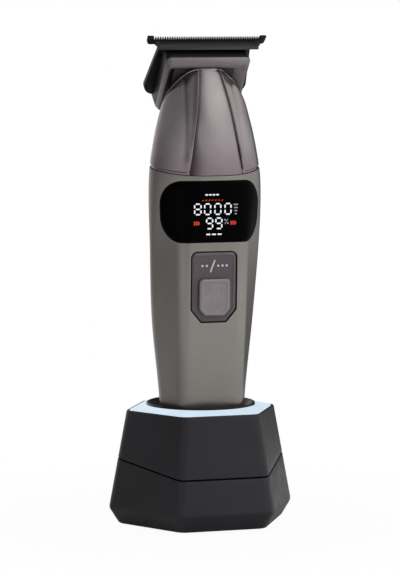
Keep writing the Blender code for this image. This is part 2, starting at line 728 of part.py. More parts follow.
def lens_outline(margin=0.0):
    corner = (LENS_CORNER_X + margin, LENS_CORNER_Z + margin)
    return rounded(LENS_HALF_WIDTH + margin, LENS_BOTTOM - margin, LENS_TOP + margin, corner, corner, 7)


# Upright plate with rounded upper corners and cut lower corners
def switch_outline(half, low, high, corner):
    upper = rounded(half, low, high, 0, corner / 2, 4)[1:-1]
    return [(-half + corner, low), (half - corner, low), (half, low + CORNER_RISE * corner)] + upper + [
        (-half, low + CORNER_RISE * corner)]


def build_sleeve(handle):
    top = SEAM_FRONT_HEIGHT + SEAM_RISE
    piece = handle_form("body_sleeve", SLEEVE_BOTTOM, top, material=GUNMETAL, parent=handle)
    carve(piece, handle_form("bore", -OVERRUN, top + OVERRUN, -SLEEVE_WALL, BORE_STEP, parent=handle))
    carve(piece, seam_block(-SEAM_GAP / 2, True, handle))
    lens_floor = LENS_PROUD - LENS_THICK - GAP
    carve(piece, skin("lens_seat", lens_outline(GAP), SKIN_CLEAR, lens_floor, parent=handle))
    window = rounded(WINDOW_HALF_WIDTH, LENS_BOTTOM + WINDOW_MARGIN, LENS_TOP - WINDOW_MARGIN,
                     WINDOW_CORNER, WINDOW_CORNER)
    carve(piece, front_prism("window", window, -CUT_REACH, MOTOR_Y, parent=handle))
    plate = switch_outline(PLATE_HALF_WIDTH + GAP, PLATE_BOTTOM - GAP, PLATE_TOP + GAP, PLATE_CORNER)
    carve(piece, skin("plate_seat", plate, SKIN_CLEAR, -PLATE_PIECE_THICK - GAP, parent=handle))
    return carve(piece, stem_slot(handle))


def stem_slot(handle):
    half = STEM_SIZE[0] / 2 + GAP
    low = (-half, -CUT_REACH, STEM_BOTTOM - GAP)
    high = (half, SWITCH_Y, STEM_BOTTOM + STEM_SIZE[1] + SWITCH_TRAVEL + GAP)
    return block("stem_slot", low, high, parent=handle)


def build_lens(handle):
    return skin("display_lens", lens_outline(), LENS_PROUD, LENS_PROUD - LENS_THICK, LENS_BLACK, handle)


def build_display_board(handle):
    half = WINDOW_HALF_WIDTH + DISPLAY_OVERLAP
    low = LENS_BOTTOM + WINDOW_MARGIN - DISPLAY_OVERLAP
    high = LENS_TOP - WINDOW_MARGIN + DISPLAY_OVERLAP
    face = front_of(low) + SLEEVE_WALL + DISPLAY_SETBACK
    block("display_board", (-half, face, low), (half, face + DISPLAY_THICK, high), BOARD_GREEN, handle)


def build_switch(handle):
    outline = switch_outline(PLATE_HALF_WIDTH, PLATE_BOTTOM, PLATE_TOP, PLATE_CORNER)
    plate = skin("switch_plate", outline, 0.0, -PLATE_PIECE_THICK, SWITCH_DARK, handle)
    carve(plate, stem_slot(handle))
    outline = switch_outline(THUMB_HALF_WIDTH, THUMB_BOTTOM, THUMB_TOP, THUMB_CORNER)
    thumb = skin("switch_thumb", outline, THUMB_PROUD, GAP, THUMB_METAL, handle)
    rim = switch_outline(THUMB_HALF_WIDTH - THUMB_RIM, THUMB_BOTTOM + THUMB_RIM, THUMB_TOP - THUMB_RIM,
                         THUMB_CORNER - THUMB_RIM / 2)
    carve(thumb, skin("dish", rim, THUMB_PROUD + OVERRUN, THUMB_PROUD - THUMB_DISH, parent=handle))
    half = STEM_SIZE[0] / 2
    middle = front_of(STEM_BOTTOM)
    low = (-half, middle - THUMB_PROUD / 2, STEM_BOTTOM)
    high = (half, SWITCH_FRONT - GAP, STEM_BOTTOM + STEM_SIZE[1])
    join(thumb, block("stem", low, high, parent=handle))
    low = (-SWITCH_WIDTH / 2, SWITCH_FRONT, SWITCH_BOTTOM)
    high = (SWITCH_WIDTH / 2, SWITCH_Y, SWITCH_BOTTOM + SWITCH_HEIGHT)
    block("slide_switch", low, high, INNER_PLASTIC, handle)


def build_end_cap(handle):
    cap = handle_form("end_cap", 0.0, CAP_FLANGE, material=INNER_PLASTIC, parent=handle)
    inset = -SLEEVE_WALL - GAP
    plug = handle_form("plug", CAP_FLANGE / 2, PLUG_TOP, inset, parent=handle)
    carve(plug, handle_form("cup", CAP_FLANGE, PLUG_TOP + OVERRUN, inset - CAP_PLUG_WALL, parent=handle))
    join(cap, plug)
    pad_low = GAP
    for name, side in (("left", -1), ("right", 1)):
        centre = (side * CONTACT_SPREAD, CONTACT_Y)
        hole = PAD_RADIUS + GAP
        steps = [(hole, -OVERRUN), (hole, pad_low + PAD_THICK + GAP)]
        carve(cap, turned("pad_seat", centre, steps, parent=handle))
        steps = [(PAD_RADIUS, pad_low), (PAD_RADIUS, pad_low + PAD_THICK)]
        turned("charge_pad_" + name, centre, steps, BRASS, handle, sides=20)
        centre = (side * CAP_SCREW_X, 0.0)
        hole = CAP_SCREW_RADIUS + SCREW_CLEARANCE
        head = CAP_SCREW_HEAD + SCREW_CLEARANCE
        depth = CAP_SCREW_SEAT
        steps = [(head, -OVERRUN), (head, depth), (hole, depth), (hole, PLUG_TOP + OVERRUN)]
        carve(cap, turned("screw_seat", centre, steps, parent=handle))
        neck = depth - GAP
        steps = [(CAP_SCREW_HEAD, GAP), (CAP_SCREW_HEAD, neck), (CAP_SCREW_RADIUS, neck),
                 (CAP_SCREW_RADIUS, CRADLE_BOTTOM + CRADLE_FOOT)]
        turned("end_cap_screw_" + name, centre, steps, STEEL, handle)


def build_battery(handle):
    centre = (0.0, CELL_Y)
    top = CELL_BOTTOM + CELL_LENGTH
    shoulder = top - CELL_NUB_HEIGHT
    steps = [(CELL_RADIUS, CELL_BOTTOM), (CELL_RADIUS, shoulder), (CELL_NUB_RADIUS, shoulder),
             (CELL_NUB_RADIUS, top)]
    turned("battery_cell", centre, steps, CELL_WRAP, handle, sides=28)
    foot_top = CRADLE_BOTTOM + CRADLE_FOOT
    inset = -SLEEVE_WALL - GAP
    cradle = handle_form("battery_cradle", CRADLE_BOTTOM, foot_top, inset, HANDLE_STEP, INNER_PLASTIC, handle)
    bore = CELL_RADIUS + GAP
    outer = bore + CRADLE_WALL
    trough_top = top + GAP + CRADLE_WALL
    steps = [(outer, foot_top - CRADLE_FOOT / 2), (outer, trough_top)]
    trough = turned("trough", centre, steps, parent=handle, sides=28)
    carve(trough, turned("bore", centre, [(bore, foot_top), (bore, top + GAP)], parent=handle, sides=28))
    front = CELL_Y - CRADLE_OPEN
    carve(trough, block("open_front", (-CUT_REACH, -CUT_REACH, foot_top), (CUT_REACH, front, CUT_REACH * 2),
                        parent=handle))
    join(cradle, trough)
    for side in (-1, 1):
        hole = CAP_SCREW_RADIUS + SCREW_CLEARANCE
        steps = [(hole, CRADLE_BOTTOM - OVERRUN), (hole, foot_top + OVERRUN)]
        carve(cradle, turned("screw_hole", (side * CAP_SCREW_X, 0.0), steps, parent=handle))
    low = (-MAIN_BOARD_HALF_WIDTH, BOARD_Y - MAIN_BOARD_THICK, foot_top + GAP)
    block("main_board", low, (MAIN_BOARD_HALF_WIDTH, BOARD_Y, MAIN_BOARD_TOP), BOARD_GREEN, handle)


def build_motor(handle, head):
    centre = (0.0, MOTOR_Y)
    boss_top = MOTOR_TOP + MOTOR_BOSS_HEIGHT
    steps = [(MOTOR_RADIUS - MOTOR_EDGE, MOTOR_BOTTOM), (MOTOR_RADIUS, MOTOR_BOTTOM + MOTOR_EDGE),
             (MOTOR_RADIUS, MOTOR_TOP), (MOTOR_BOSS_RADIUS, MOTOR_TOP), (MOTOR_BOSS_RADIUS, boss_top)]
    can = turned("motor_can", centre, steps, STEEL, handle, sides=28)
    bore = SHAFT_RADIUS + GAP
    shaft_bottom = MOTOR_TOP - SHAFT_SUNK
    steps = [(bore, shaft_bottom - GAP), (bore, boss_top + OVERRUN)]
    carve(can, turned("shaft_bore", centre, steps, parent=handle))
    top = MOTOR_TOP - MOUNT_DROP
    inset = -NOSE_WALL - GAP
    mount = handle_form("motor_mount", top - MOUNT_THICK, top, inset, 2.0, INNER_PLASTIC, handle)
    hole = MOTOR_RADIUS + GAP
    steps = [(hole, top - MOUNT_THICK - OVERRUN), (hole, top + OVERRUN)]
    carve(mount, turned("motor_bore", centre, steps, parent=handle, sides=28))
    carve(mount, blade_side(NOSE_CUT - NOSE_WALL - GAP, head))
    axis = frame("motor_axis", (0.0, MOTOR_Y, 0.0), handle)
    shaft_top = CAM_TOP - CAM_ROOF - GAP
    steps = [(SHAFT_RADIUS, shaft_bottom), (SHAFT_RADIUS, shaft_top)]
    turned("motor_shaft", (0.0, 0.0), steps, STEEL, axis)
    steps = [(CAM_RADIUS, CAM_BOTTOM), (CAM_RADIUS, CAM_TOP)]
    cam = turned("eccentric_cam", (0.0, 0.0), steps, STEEL, axis)
    steps = [(bore, CAM_BOTTOM - OVERRUN), (bore, shaft_top + GAP)]
    carve(cam, turned("shaft_bore", (0.0, 0.0), steps, parent=axis))
    steps = [(CRANK_PIN_RADIUS, CAM_TOP - CAM_ROOF / 2), (CRANK_PIN_RADIUS, CAM_TOP + CRANK_PIN_LENGTH)]
    join(cam, turned("crank_pin", (0.0, -CRANK_RADIUS), steps, parent=axis))


# Head: in its frame z runs to the tooth tips and y to the back of the blade

BLADE_SEAT = -GAP
CUTTER_BACK = BLADE_SEAT
CUTTER_FRONT = CUTTER_BACK - CUTTER_THICK
FLOOR_BACK = CUTTER_FRONT - GAP
FLOOR_FRONT = FLOOR_BACK - HOOD_FLOOR_THICK
HOOD_FRONT = BLADE_SEAT - HOOD_DEPTH
NOSE_CUT = HOOD_FRONT - GAP
POCKET_HALF_WIDTH = HOOD_HALF_WIDTH - HOOD_EDGE_SIDE - HOOD_RIM
POCKET_TOP = HOOD_TOP - HOOD_EDGE_TOP - HOOD_RIM


# Outline in y and z, extruded along x
def side_prism(name, outline, low, high, material=None, parent=None):
    rings = [[(x, y, z) for y, z in outline] for x in (low, high)]
    return loft(name, rings, material, parent)


# Row of slots between teeth, as one cutter
def comb(count, depth, near, far, parent):
    mesh = bmesh.new()
    for i in range(count - 1):
        middle = (i - (count - 2) / 2) * TOOTH_PITCH
        corners = [(x, y, z) for z in (-depth, OVERRUN) for x, y in (
            (middle - TOOTH_GAP / 2, near), (middle + TOOTH_GAP / 2, near),
            (middle + TOOTH_GAP / 2, far), (middle - TOOTH_GAP / 2, far))]
        verts = [mesh.verts.new(Vector(corner) * MM) for corner in corners]
        mesh.faces.new(verts[3::-1])
        mesh.faces.new(verts[4:])
        for k in range(4):
            n = (k + 1) % 4
            mesh.faces.new((verts[k], verts[n], verts[n + 4], verts[k + 4]))
    return add("comb", mesh, parent=parent)


def screw_holes(piece, head):
    for side in (-1, 1):
        hole = BLADE_SCREW_RADIUS + SCREW_CLEARANCE
        end = BLADE_THICK + GAP - BLADE_SCREW_LENGTH - GAP
        steps = [(hole, end), (hole, BLADE_THICK + OVERRUN)]
        centre = (side * BLADE_SCREW_X, BLADE_SCREW_Z)
        carve(piece, turned_through("screw_hole", centre, steps, parent=head))


# Block that removes all behind a plane parallel to the blade
def blade_side(plane, head):
    low = (-CUT_REACH, plane, -CUT_REACH)
    return block("blade_side", low, (CUT_REACH, CUT_REACH, CUT_REACH), parent=head)


def build_nose(handle, head):
    low = SEAM_FRONT_HEIGHT - SEAM_RISE / 2
    nose = handle_form("nose_cone", low, HANDLE_LENGTH, 0.0, NOSE_STEP, NOSE_METAL, handle)
    top = HANDLE_LENGTH + OVERRUN
    band = [(-BAND_HALF_WIDTH_LOW, low), (BAND_HALF_WIDTH_LOW, low),
            (BAND_HALF_WIDTH_TOP, top), (-BAND_HALF_WIDTH_TOP, top)]
    carve(nose, skin("band", band, SKIN_CLEAR, -BAND_DEPTH, parent=handle))
    bore_top = HANDLE_LENGTH - 2 * NOSE_WALL
    bore = handle_form("bore", low - OVERRUN, bore_top, -NOSE_WALL, SKIN_STEP, parent=handle)
    carve(nose, carve(bore, blade_side(NOSE_CUT - NOSE_WALL, head)))
    carve(nose, seam_block(SEAM_GAP / 2, False, handle))
    carve(nose, blade_side(NOSE_CUT, head))
    half = NECK_HALF_WIDTH + GAP
    low = (-half, NOSE_CUT - NOSE_WALL - OVERRUN, NECK_BOTTOM - GAP)
    return carve(nose, block("neck_hole", low, (half, NOSE_CUT + OVERRUN, NECK_TOP + GAP), parent=head))


def build_hood(head):
    full = rounded(HOOD_HALF_WIDTH, HOOD_BOTTOM, HOOD_TOP, 0, HOOD_CORNER)
    front = rounded(HOOD_HALF_WIDTH - HOOD_EDGE_SIDE, HOOD_BOTTOM, HOOD_TOP - HOOD_EDGE_TOP,
                    0, HOOD_FRONT_CORNER)
    rings = []
    for y, outline in ((HOOD_FRONT, front), (HOOD_FRONT + HOOD_EDGE_TOP, full), (BLADE_SEAT, full)):
        rings.append([(x, y, z) for x, z in outline])
    hood = loft("blade_hood", rings, NOSE_METAL, head)
    pocket = rounded(POCKET_HALF_WIDTH, HOOD_BOTTOM - OVERRUN, POCKET_TOP, 0, HOOD_POCKET_RADIUS)
    carve(hood, front_prism("pocket", pocket, HOOD_FRONT - OVERRUN, FLOOR_FRONT, parent=head))
    half = CUTTER_STEM_HALF_WIDTH + CRANK_RADIUS + 2 * GAP
    low = (-half, FLOOR_BACK, -CUTTER_LENGTH - CHANNEL_SPARE)
    carve(hood, block("channel", low, (half, OVERRUN, OVERRUN), parent=head))
    half = YOKE_SIZE[0] / 2 + CRANK_RADIUS + GAP
    rise = YOKE_SIZE[2] / 2 + GAP
    low = (-half, FLOOR_FRONT - OVERRUN, DRIVE_SLOT_CENTRE - rise)
    high = (half, FLOOR_BACK + OVERRUN, DRIVE_SLOT_CENTRE + rise)
    carve(hood, block("drive_slot", low, high, parent=head))
    screw_holes(hood, head)


def build_blade_base(head):
    half = POCKET_HALF_WIDTH - BASE_MARGIN
    low = (-half, HOOD_FRONT + BASE_RECESS, HOOD_BOTTOM + BASE_SETBACK)
    high = (half, FLOOR_FRONT - GAP, POCKET_TOP - BASE_MARGIN)
    base = block("blade_base", low, high, INNER_PLASTIC, head)
    low = (-NECK_HALF_WIDTH, HOOD_FRONT - NECK_DEPTH, NECK_BOTTOM)
    high = (NECK_HALF_WIDTH, HOOD_FRONT + BASE_RECESS + GAP, NECK_TOP)
    join(base, block("neck", low, high, parent=head))
    half = NECK_HALF_WIDTH - NECK_WALL
    low = (-half, HOOD_FRONT - NECK_DEPTH - OVERRUN, NECK_BOTTOM + NECK_WALL)
    carve(base, block("drive_hole", low, (half, 0.0, NECK_TOP - NECK_WALL), parent=head))
    screw_holes(base, head)


def build_fixed_blade(head):
    turns = [pi / 2 * k / 5 for k in range(6)]
    heel = [(BLADE_HEEL_HALF_WIDTH - BLADE_HEEL_RADIUS * (1 - sin(a)),
             -BLADE_LENGTH + BLADE_HEEL_RADIUS * (1 - cos(a))) for a in turns]
    end = (BLADE_HALF_WIDTH - BLADE_END_SLANT - BLADE_END_RADIUS, -BLADE_WIDE_DEPTH + BLADE_END_RADIUS)
    hook = [(end[0] + BLADE_END_RADIUS * sin(a), end[1] - BLADE_END_RADIUS * cos(a)) for a in turns]
    right = heel + [(BLADE_NECK_HALF_WIDTH, -BLADE_WIDE_DEPTH - BLADE_NECK_EDGE),
                    (BLADE_NECK_HALF_WIDTH + BLADE_NECK_EDGE, -BLADE_WIDE_DEPTH)]
    right += hook + [(BLADE_HALF_WIDTH, 0.0)]
    outline = right + [(-x, z) for x, z in reversed(right)]
    blade = front_prism("fixed_blade", outline, 0.0, BLADE_THICK, BLADE_BLACK, head)
    run = BLADE_WIDE_DEPTH + OVERRUN
    slope = (BLADE_THICK - BLADE_TIP_THICK) / run
    outside = BLADE_THICK + slope * OVERRUN
    bevel = [(BLADE_TIP_THICK - slope * OVERRUN, OVERRUN), (outside, -run - OVERRUN), (outside, OVERRUN)]
    carve(blade, side_prism("bevel", bevel, -CUT_REACH, CUT_REACH, parent=head))
    screw_holes(blade, head)
    carve(blade, comb(BLADE_TEETH, TOOTH_DEPTH, -OVERRUN, BLADE_THICK + OVERRUN, head))


def build_cutter(head):
    tip = -CUTTER_SETBACK
    edge = tip - CUTTER_WEDGE_DEPTH
    heel = edge - CUTTER_UNDERCUT
    wedge = [(CUTTER_BACK, tip), (CUTTER_BACK - CUTTER_TIP_THICK, tip),
             (CUTTER_BACK - CUTTER_WEDGE_THICK, edge), (CUTTER_FRONT, heel), (CUTTER_BACK, heel)]
    rings = []
    for side in (-1, 1):
        halves = [CUTTER_HALF_WIDTH - CUTTER_END_SLANT * (tip - z) / (tip - edge) for y, z in wedge]
        rings.append([(side * half, y, z) for half, (y, z) in zip(halves, wedge)])
    cutter = loft("moving_cutter", rings, BLADE_BLACK, head)
    low = (-CUTTER_STEM_HALF_WIDTH, CUTTER_FRONT, -CUTTER_LENGTH)
    high = (CUTTER_STEM_HALF_WIDTH, CUTTER_BACK, heel + CUTTER_UNDERCUT / 2)
    join(cutter, block("stem", low, high, parent=head))
    carve(cutter, comb(CUTTER_TEETH, CUTTER_SETBACK + TOOTH_DEPTH, HOOD_FRONT, OVERRUN, head))
    width, depth, height = YOKE_SIZE
    back = FLOOR_BACK
    low = (-width / 2, back - depth, DRIVE_SLOT_CENTRE - height / 2)
    yoke = block("drive_yoke", low, (width / 2, back, DRIVE_SLOT_CENTRE + height / 2), INNER_PLASTIC, head)
    slot = CRANK_PIN_RADIUS + FORK_CLEARANCE
    for side in (-1, 1):
        near, far = sorted((side * slot, side * FORK_HALF_WIDTH))
        low = (near, -FORK_REACH, DRIVE_SLOT_CENTRE - FORK_DEPTH / 2)
        high = (far, back - depth / 2, DRIVE_SLOT_CENTRE + FORK_DEPTH / 2)
        join(yoke, block("prong", low, high, parent=head))


def build_blade_screws(head):
    for name, side in (("left", -1), ("right", 1)):
        low = BLADE_THICK + GAP
        head_top = low + BLADE_SCREW_HEAD_HEIGHT
        steps = [(BLADE_SCREW_RADIUS, low - BLADE_SCREW_LENGTH), (BLADE_SCREW_RADIUS, low),
                 (BLADE_SCREW_HEAD, low), (BLADE_SCREW_HEAD, head_top - SCREW_EDGE),
                 (BLADE_SCREW_HEAD - SCREW_EDGE, head_top)]
        turned_through("blade_screw_" + name, (side * BLADE_SCREW_X, BLADE_SCREW_Z), steps, STEEL, head)


def main():
    build_dock_lower()
    build_dock_upper()
    build_light_ring()
    build_well_liner()
    build_base_plate()
    build_dock_screws()
    build_feet()
    build_dock_electronics()
    build_contacts()
    handle = frame("handle_frame", (0.0, 0.0, SEAT_LEVEL))
    head = frame("head_frame", (0.0, TIP_Y, TIP_HEIGHT), handle, HEAD_TILT)
    build_sleeve(handle)
    build_lens(handle)
    build_display_board(handle)
    build_switch(handle)
    build_end_cap(handle)
    build_battery(handle)
    build_motor(handle, head)
    build_nose(handle, head)
    build_hood(head)
    build_blade_base(head)
    build_fixed_blade(head)
    build_cutter(head)
    build_blade_screws(head)


main()
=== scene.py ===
from math import atan2, cos, pi, radians, sin, tan

import bmesh
import bpy
import numpy as np
from mathutils import Matrix, Vector


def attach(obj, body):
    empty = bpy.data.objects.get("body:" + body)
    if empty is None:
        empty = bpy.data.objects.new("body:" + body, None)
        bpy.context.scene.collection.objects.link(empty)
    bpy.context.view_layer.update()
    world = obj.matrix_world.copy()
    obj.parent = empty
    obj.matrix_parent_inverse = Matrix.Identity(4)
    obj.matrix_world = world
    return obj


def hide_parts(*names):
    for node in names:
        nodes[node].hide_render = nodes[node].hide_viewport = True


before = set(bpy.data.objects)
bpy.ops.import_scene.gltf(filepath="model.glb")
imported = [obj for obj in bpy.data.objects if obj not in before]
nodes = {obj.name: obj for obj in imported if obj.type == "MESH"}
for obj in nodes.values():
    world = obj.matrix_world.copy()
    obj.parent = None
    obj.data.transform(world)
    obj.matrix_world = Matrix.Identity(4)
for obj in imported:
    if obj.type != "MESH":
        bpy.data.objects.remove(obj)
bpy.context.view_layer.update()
scene = bpy.context.scene
mm = 0.001
gap = 0.3  # air between pieces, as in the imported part
fullRub = 1.2  # turn of an edge, in radians, that counts as fully worn
print("frame loaded,", len(nodes), "nodes")


# Mesh helpers. All shapes are worked out in millimetres in the part's own frame.

def addObject(name, data):
    made = bpy.data.objects.new(name, data)
    scene.collection.objects.link(made)
    return made


def setLayer(mesh, name, values):
    layer = mesh.attributes.get(name) or mesh.attributes.new(name, "FLOAT", "POINT")
    layer.data.foreach_set("value", values)


def circlePoints(radius, sides):
    return [(radius * cos(2 * pi * k / sides), radius * sin(2 * pi * k / sides)) for k in range(sides)]


def boxCorners(left, low, right, high):
    return [(left, low), (right, low), (right, high), (left, high)]


def ringFaces(count, rings, loop=False):
    faces = []
    for r in range(rings if loop else rings - 1):
        low = r * count
        high = ((r + 1) % rings) * count
        for c in range(count):
            n = (c + 1) % count
            faces.append((low + c, low + n, high + n, high + c))
    return faces


def markRub(mesh):
    # how sharply the surface turns at each point, for worn edges
    shape = bmesh.new()
    shape.from_mesh(mesh)
    rub = np.zeros(len(shape.verts), np.float32)
    for edge in shape.edges:
        if len(edge.link_faces) == 2:
            turn = edge.calc_face_angle_signed(0.0)
            for point in edge.verts:
                rub[point.index] = max(rub[point.index], min(1.0, turn / fullRub))
    shape.free()
    setLayer(mesh, "rub", rub)


def shadeEdges(piece, sharp=32):
    piece.data.shade_smooth()
    piece.data.set_sharp_from_angle(angle=radians(sharp))
    markRub(piece.data)
    return piece


def makePiece(name, points, faces, material=None, sharp=32, weld=0.0):
    shape = bmesh.new()
    corners = [shape.verts.new((p[0] * mm, p[1] * mm, p[2] * mm)) for p in points]
    for face in faces:
        shape.faces.new([corners[i] for i in face])
    if weld:
        bmesh.ops.remove_doubles(shape, verts=shape.verts, dist=weld * mm)
        bmesh.ops.dissolve_degenerate(shape, edges=shape.edges, dist=weld * mm)
    bmesh.ops.recalc_face_normals(shape, faces=shape.faces)
    data = bpy.data.meshes.new(name)
    shape.to_mesh(data)
    shape.free()
    piece = addObject(name, data)
    if material:
        data.materials.append(material)
    return shadeEdges(piece, sharp)


def loftPiece(name, rings, material=None, loop=False, sharp=32):
    count = len(rings[0])
    faces = ringFaces(count, len(rings), loop)
    points = [p for ring in rings for p in ring]
    if not loop:
        last = (len(rings) - 1) * count
        faces.append(tuple(reversed(range(count))))
        faces.append(tuple(range(last, last + count)))
    return makePiece(name, points, faces, material, sharp)


def bake(piece):
    # modifiers become a plain mesh
    bpy.context.view_layer.update()
    graph = bpy.context.evaluated_depsgraph_get()
    shaped = bpy.data.meshes.new_from_object(piece.evaluated_get(graph))
    piece.modifiers.clear()
    old = piece.data
    piece.data = shaped
    bpy.data.meshes.remove(old)


def cutWith(piece, tool, operation="DIFFERENCE"):
    # a tool with a finish of its own leaves it on the cut
    step = piece.modifiers.new("cut", "BOOLEAN")
    step.material_mode = "TRANSFER" if tool.data.materials else "INDEX"
    step.operation = operation
    step.solver = "EXACT"
    step.object = tool
    bake(piece)
    bpy.data.objects.remove(tool)


def softEdges(piece, width, segments, angle):
    step = piece.modifiers.new("edges", "BEVEL")
    step.width = width * mm
    step.segments = segments
    step.limit_method = "ANGLE"
    step.angle_limit = radians(angle)
    step.use_clamp_overlap = True
    bake(piece)
    shadeEdges(piece, 40)


def settle(piece, body, slotName, *standsFor):
    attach(piece, body)
    if standsFor:
        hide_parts(*standsFor)


# Node helpers

def setInputs(tree, node, values):
    # a socket is linked, anything else is set as the input's own value
    for key, value in values.items():
        if isinstance(value, bpy.types.NodeSocket):
            tree.links.new(value, node.inputs[key])
        else:
            node.inputs[key].default_value = value


def addNode(tree, kind, inputs=None, **settings):
    node = tree.nodes.new(kind)
    for key, value in settings.items():
        setattr(node, key, value)
    setInputs(tree, node, inputs or {})
    return node


def objectPlace(tree):
    return addNode(tree, "ShaderNodeTexCoord").outputs["Object"]


def mathNode(tree, operation, first, second):
    return addNode(tree, "ShaderNodeMath", {0: first, 1: second}, operation=operation).outputs[0]


def spread(tree, value, low, high, least=0.0, most=1.0, curve="LINEAR"):
    inputs = {"Value": value, "From Min": low, "From Max": high, "To Min": least, "To Max": most}
    return addNode(tree, "ShaderNodeMapRange", inputs, interpolation_type=curve).outputs["Result"]


def mixColour(tree, factor, first, second):
    return addNode(tree, "ShaderNodeMix", {0: factor, 6: first, 7: second}, data_type="RGBA").outputs[2]


def useGroup(tree, group, values):
    return addNode(tree, "ShaderNodeGroup", values, node_tree=group).outputs


def newMaterial(name):
    material = bpy.data.materials.new(name)
    material.use_nodes = True
    return material, material.node_tree, material.node_tree.nodes["Principled BSDF"]


def srgb(red, green, blue):
    def level(channel):
        share = channel / 255
        return share / 12.92 if share <= 0.04045 else ((share + 0.055) / 1.055) ** 2.4
    return (level(red), level(green), level(blue), 1.0)


def newGroup(name, kind, inputs, outputs):
    tree = bpy.data.node_groups.new(name, kind)
    for label, socket, value in inputs:
        made = tree.interface.new_socket(label, in_out="INPUT", socket_type=socket)
        if value is not None:
            made.default_value = value
    for label, socket in outputs:
        tree.interface.new_socket(label, in_out="OUTPUT", socket_type=socket)
    start = tree.nodes.new("NodeGroupInput")
    end = tree.nodes.new("NodeGroupOutput")
    return tree, start.outputs, end.inputs


# Effects that several finishes share, and what a finish has if its look doesn't say

plainLook = {"grain": 2200.0, "cloud": 45.0, "patch": 500.0, "rub": 0.0, "bump": 0.1, "metal": 0.0, "shine": 0.5}
bumpDistance = 0.0001  # metres


def makeMouldGrain():
    tree, given, result = newGroup(
        "mouldGrain", "ShaderNodeTree",
        [("Grain Scale", "NodeSocketFloat", plainLook["grain"]),
         ("Cloud Scale", "NodeSocketFloat", plainLook["cloud"])],
        [("Grain", "NodeSocketFloat"), ("Cloud", "NodeSocketFloat")])
    place = objectPlace(tree)
    grain = addNode(tree, "ShaderNodeTexNoise",
                    {"Vector": place, "Scale": given["Grain Scale"], "Detail": 2.0, "Roughness": 0.55})
    cloud = addNode(tree, "ShaderNodeTexNoise",
                    {"Vector": place, "Scale": given["Cloud Scale"], "Detail": 3.0, "Roughness": 0.5})
    tree.links.new(grain.outputs["Fac"], result["Grain"])
    tree.links.new(spread(tree, cloud.outputs["Fac"], 0.3, 0.7), result["Cloud"])
    return tree


def makeSatinLines():
    # hair lines along one direction, as on brushed and drawn metal
    tree, given, result = newGroup(
        "satinLines", "ShaderNodeTree",
        [("Across", "NodeSocketFloat", 2600.0), ("Along", "NodeSocketFloat", 60.0)],
        [("Lines", "NodeSocketFloat")])
    place = objectPlace(tree)
    size = addNode(tree, "ShaderNodeCombineXYZ",
                   {"X": given["Across"], "Y": given["Across"], "Z": given["Along"]})
    scaled = addNode(tree, "ShaderNodeVectorMath", {0: place, 1: size.outputs["Vector"]}, operation="MULTIPLY")
    lines = addNode(tree, "ShaderNodeTexNoise",
                    {"Vector": scaled.outputs["Vector"], "Scale": 1.0, "Detail": 3.0, "Roughness": 0.6})
    tree.links.new(lines.outputs["Fac"], result["Lines"])
    return tree


def makeHandMarks():
    # faint smudges that change how sharply the surface mirrors
    tree, given, result = newGroup(
        "handMarks", "ShaderNodeTree",
        [("Size", "NodeSocketFloat", 160.0), ("Low", "NodeSocketFloat", 0.3), ("High", "NodeSocketFloat", 0.4)],
        [("Roughness", "NodeSocketFloat")])
    place = objectPlace(tree)
    wide = addNode(tree, "ShaderNodeTexNoise",
                   {"Vector": place, "Scale": given["Size"], "Detail": 4.0, "Roughness": 0.62, "Distortion": 0.6})
    gloss = spread(tree, wide.outputs["Fac"], 0.32, 0.68, given["Low"], given["High"])
    tree.links.new(gloss, result["Roughness"])
    return tree


def makeEdgeRubAndSheen():
    # worn edges: the rub attribute of the mesh, broken up; on the cutter that attribute holds a painted highlight
    # instead
    tree, given, result = newGroup(
        "edgeRubAndSheen", "ShaderNodeTree",
        [("Amount", "NodeSocketFloat", plainLook["rub"]), ("Break Up", "NodeSocketFloat", plainLook["patch"])],
        [("Rub", "NodeSocketFloat")])
    place = objectPlace(tree)
    edge = addNode(tree, "ShaderNodeAttribute", attribute_name="rub")
    patch = addNode(tree, "ShaderNodeTexNoise", {"Vector": place, "Scale": given["Break Up"], "Detail": 3.0})
    both = mathNode(tree, "MULTIPLY", edge.outputs["Fac"], spread(tree, patch.outputs["Fac"], 0.35, 0.65))
    share = addNode(tree, "ShaderNodeMath", {0: both, 1: given["Amount"]}, operation="MULTIPLY", use_clamp=True)
    tree.links.new(share.outputs[0], result["Rub"])
    return tree


mouldGrain = makeMouldGrain()
satinLines = makeSatinLines()
handMarks = makeHandMarks()
edgeRubAndSheen = makeEdgeRubAndSheen()
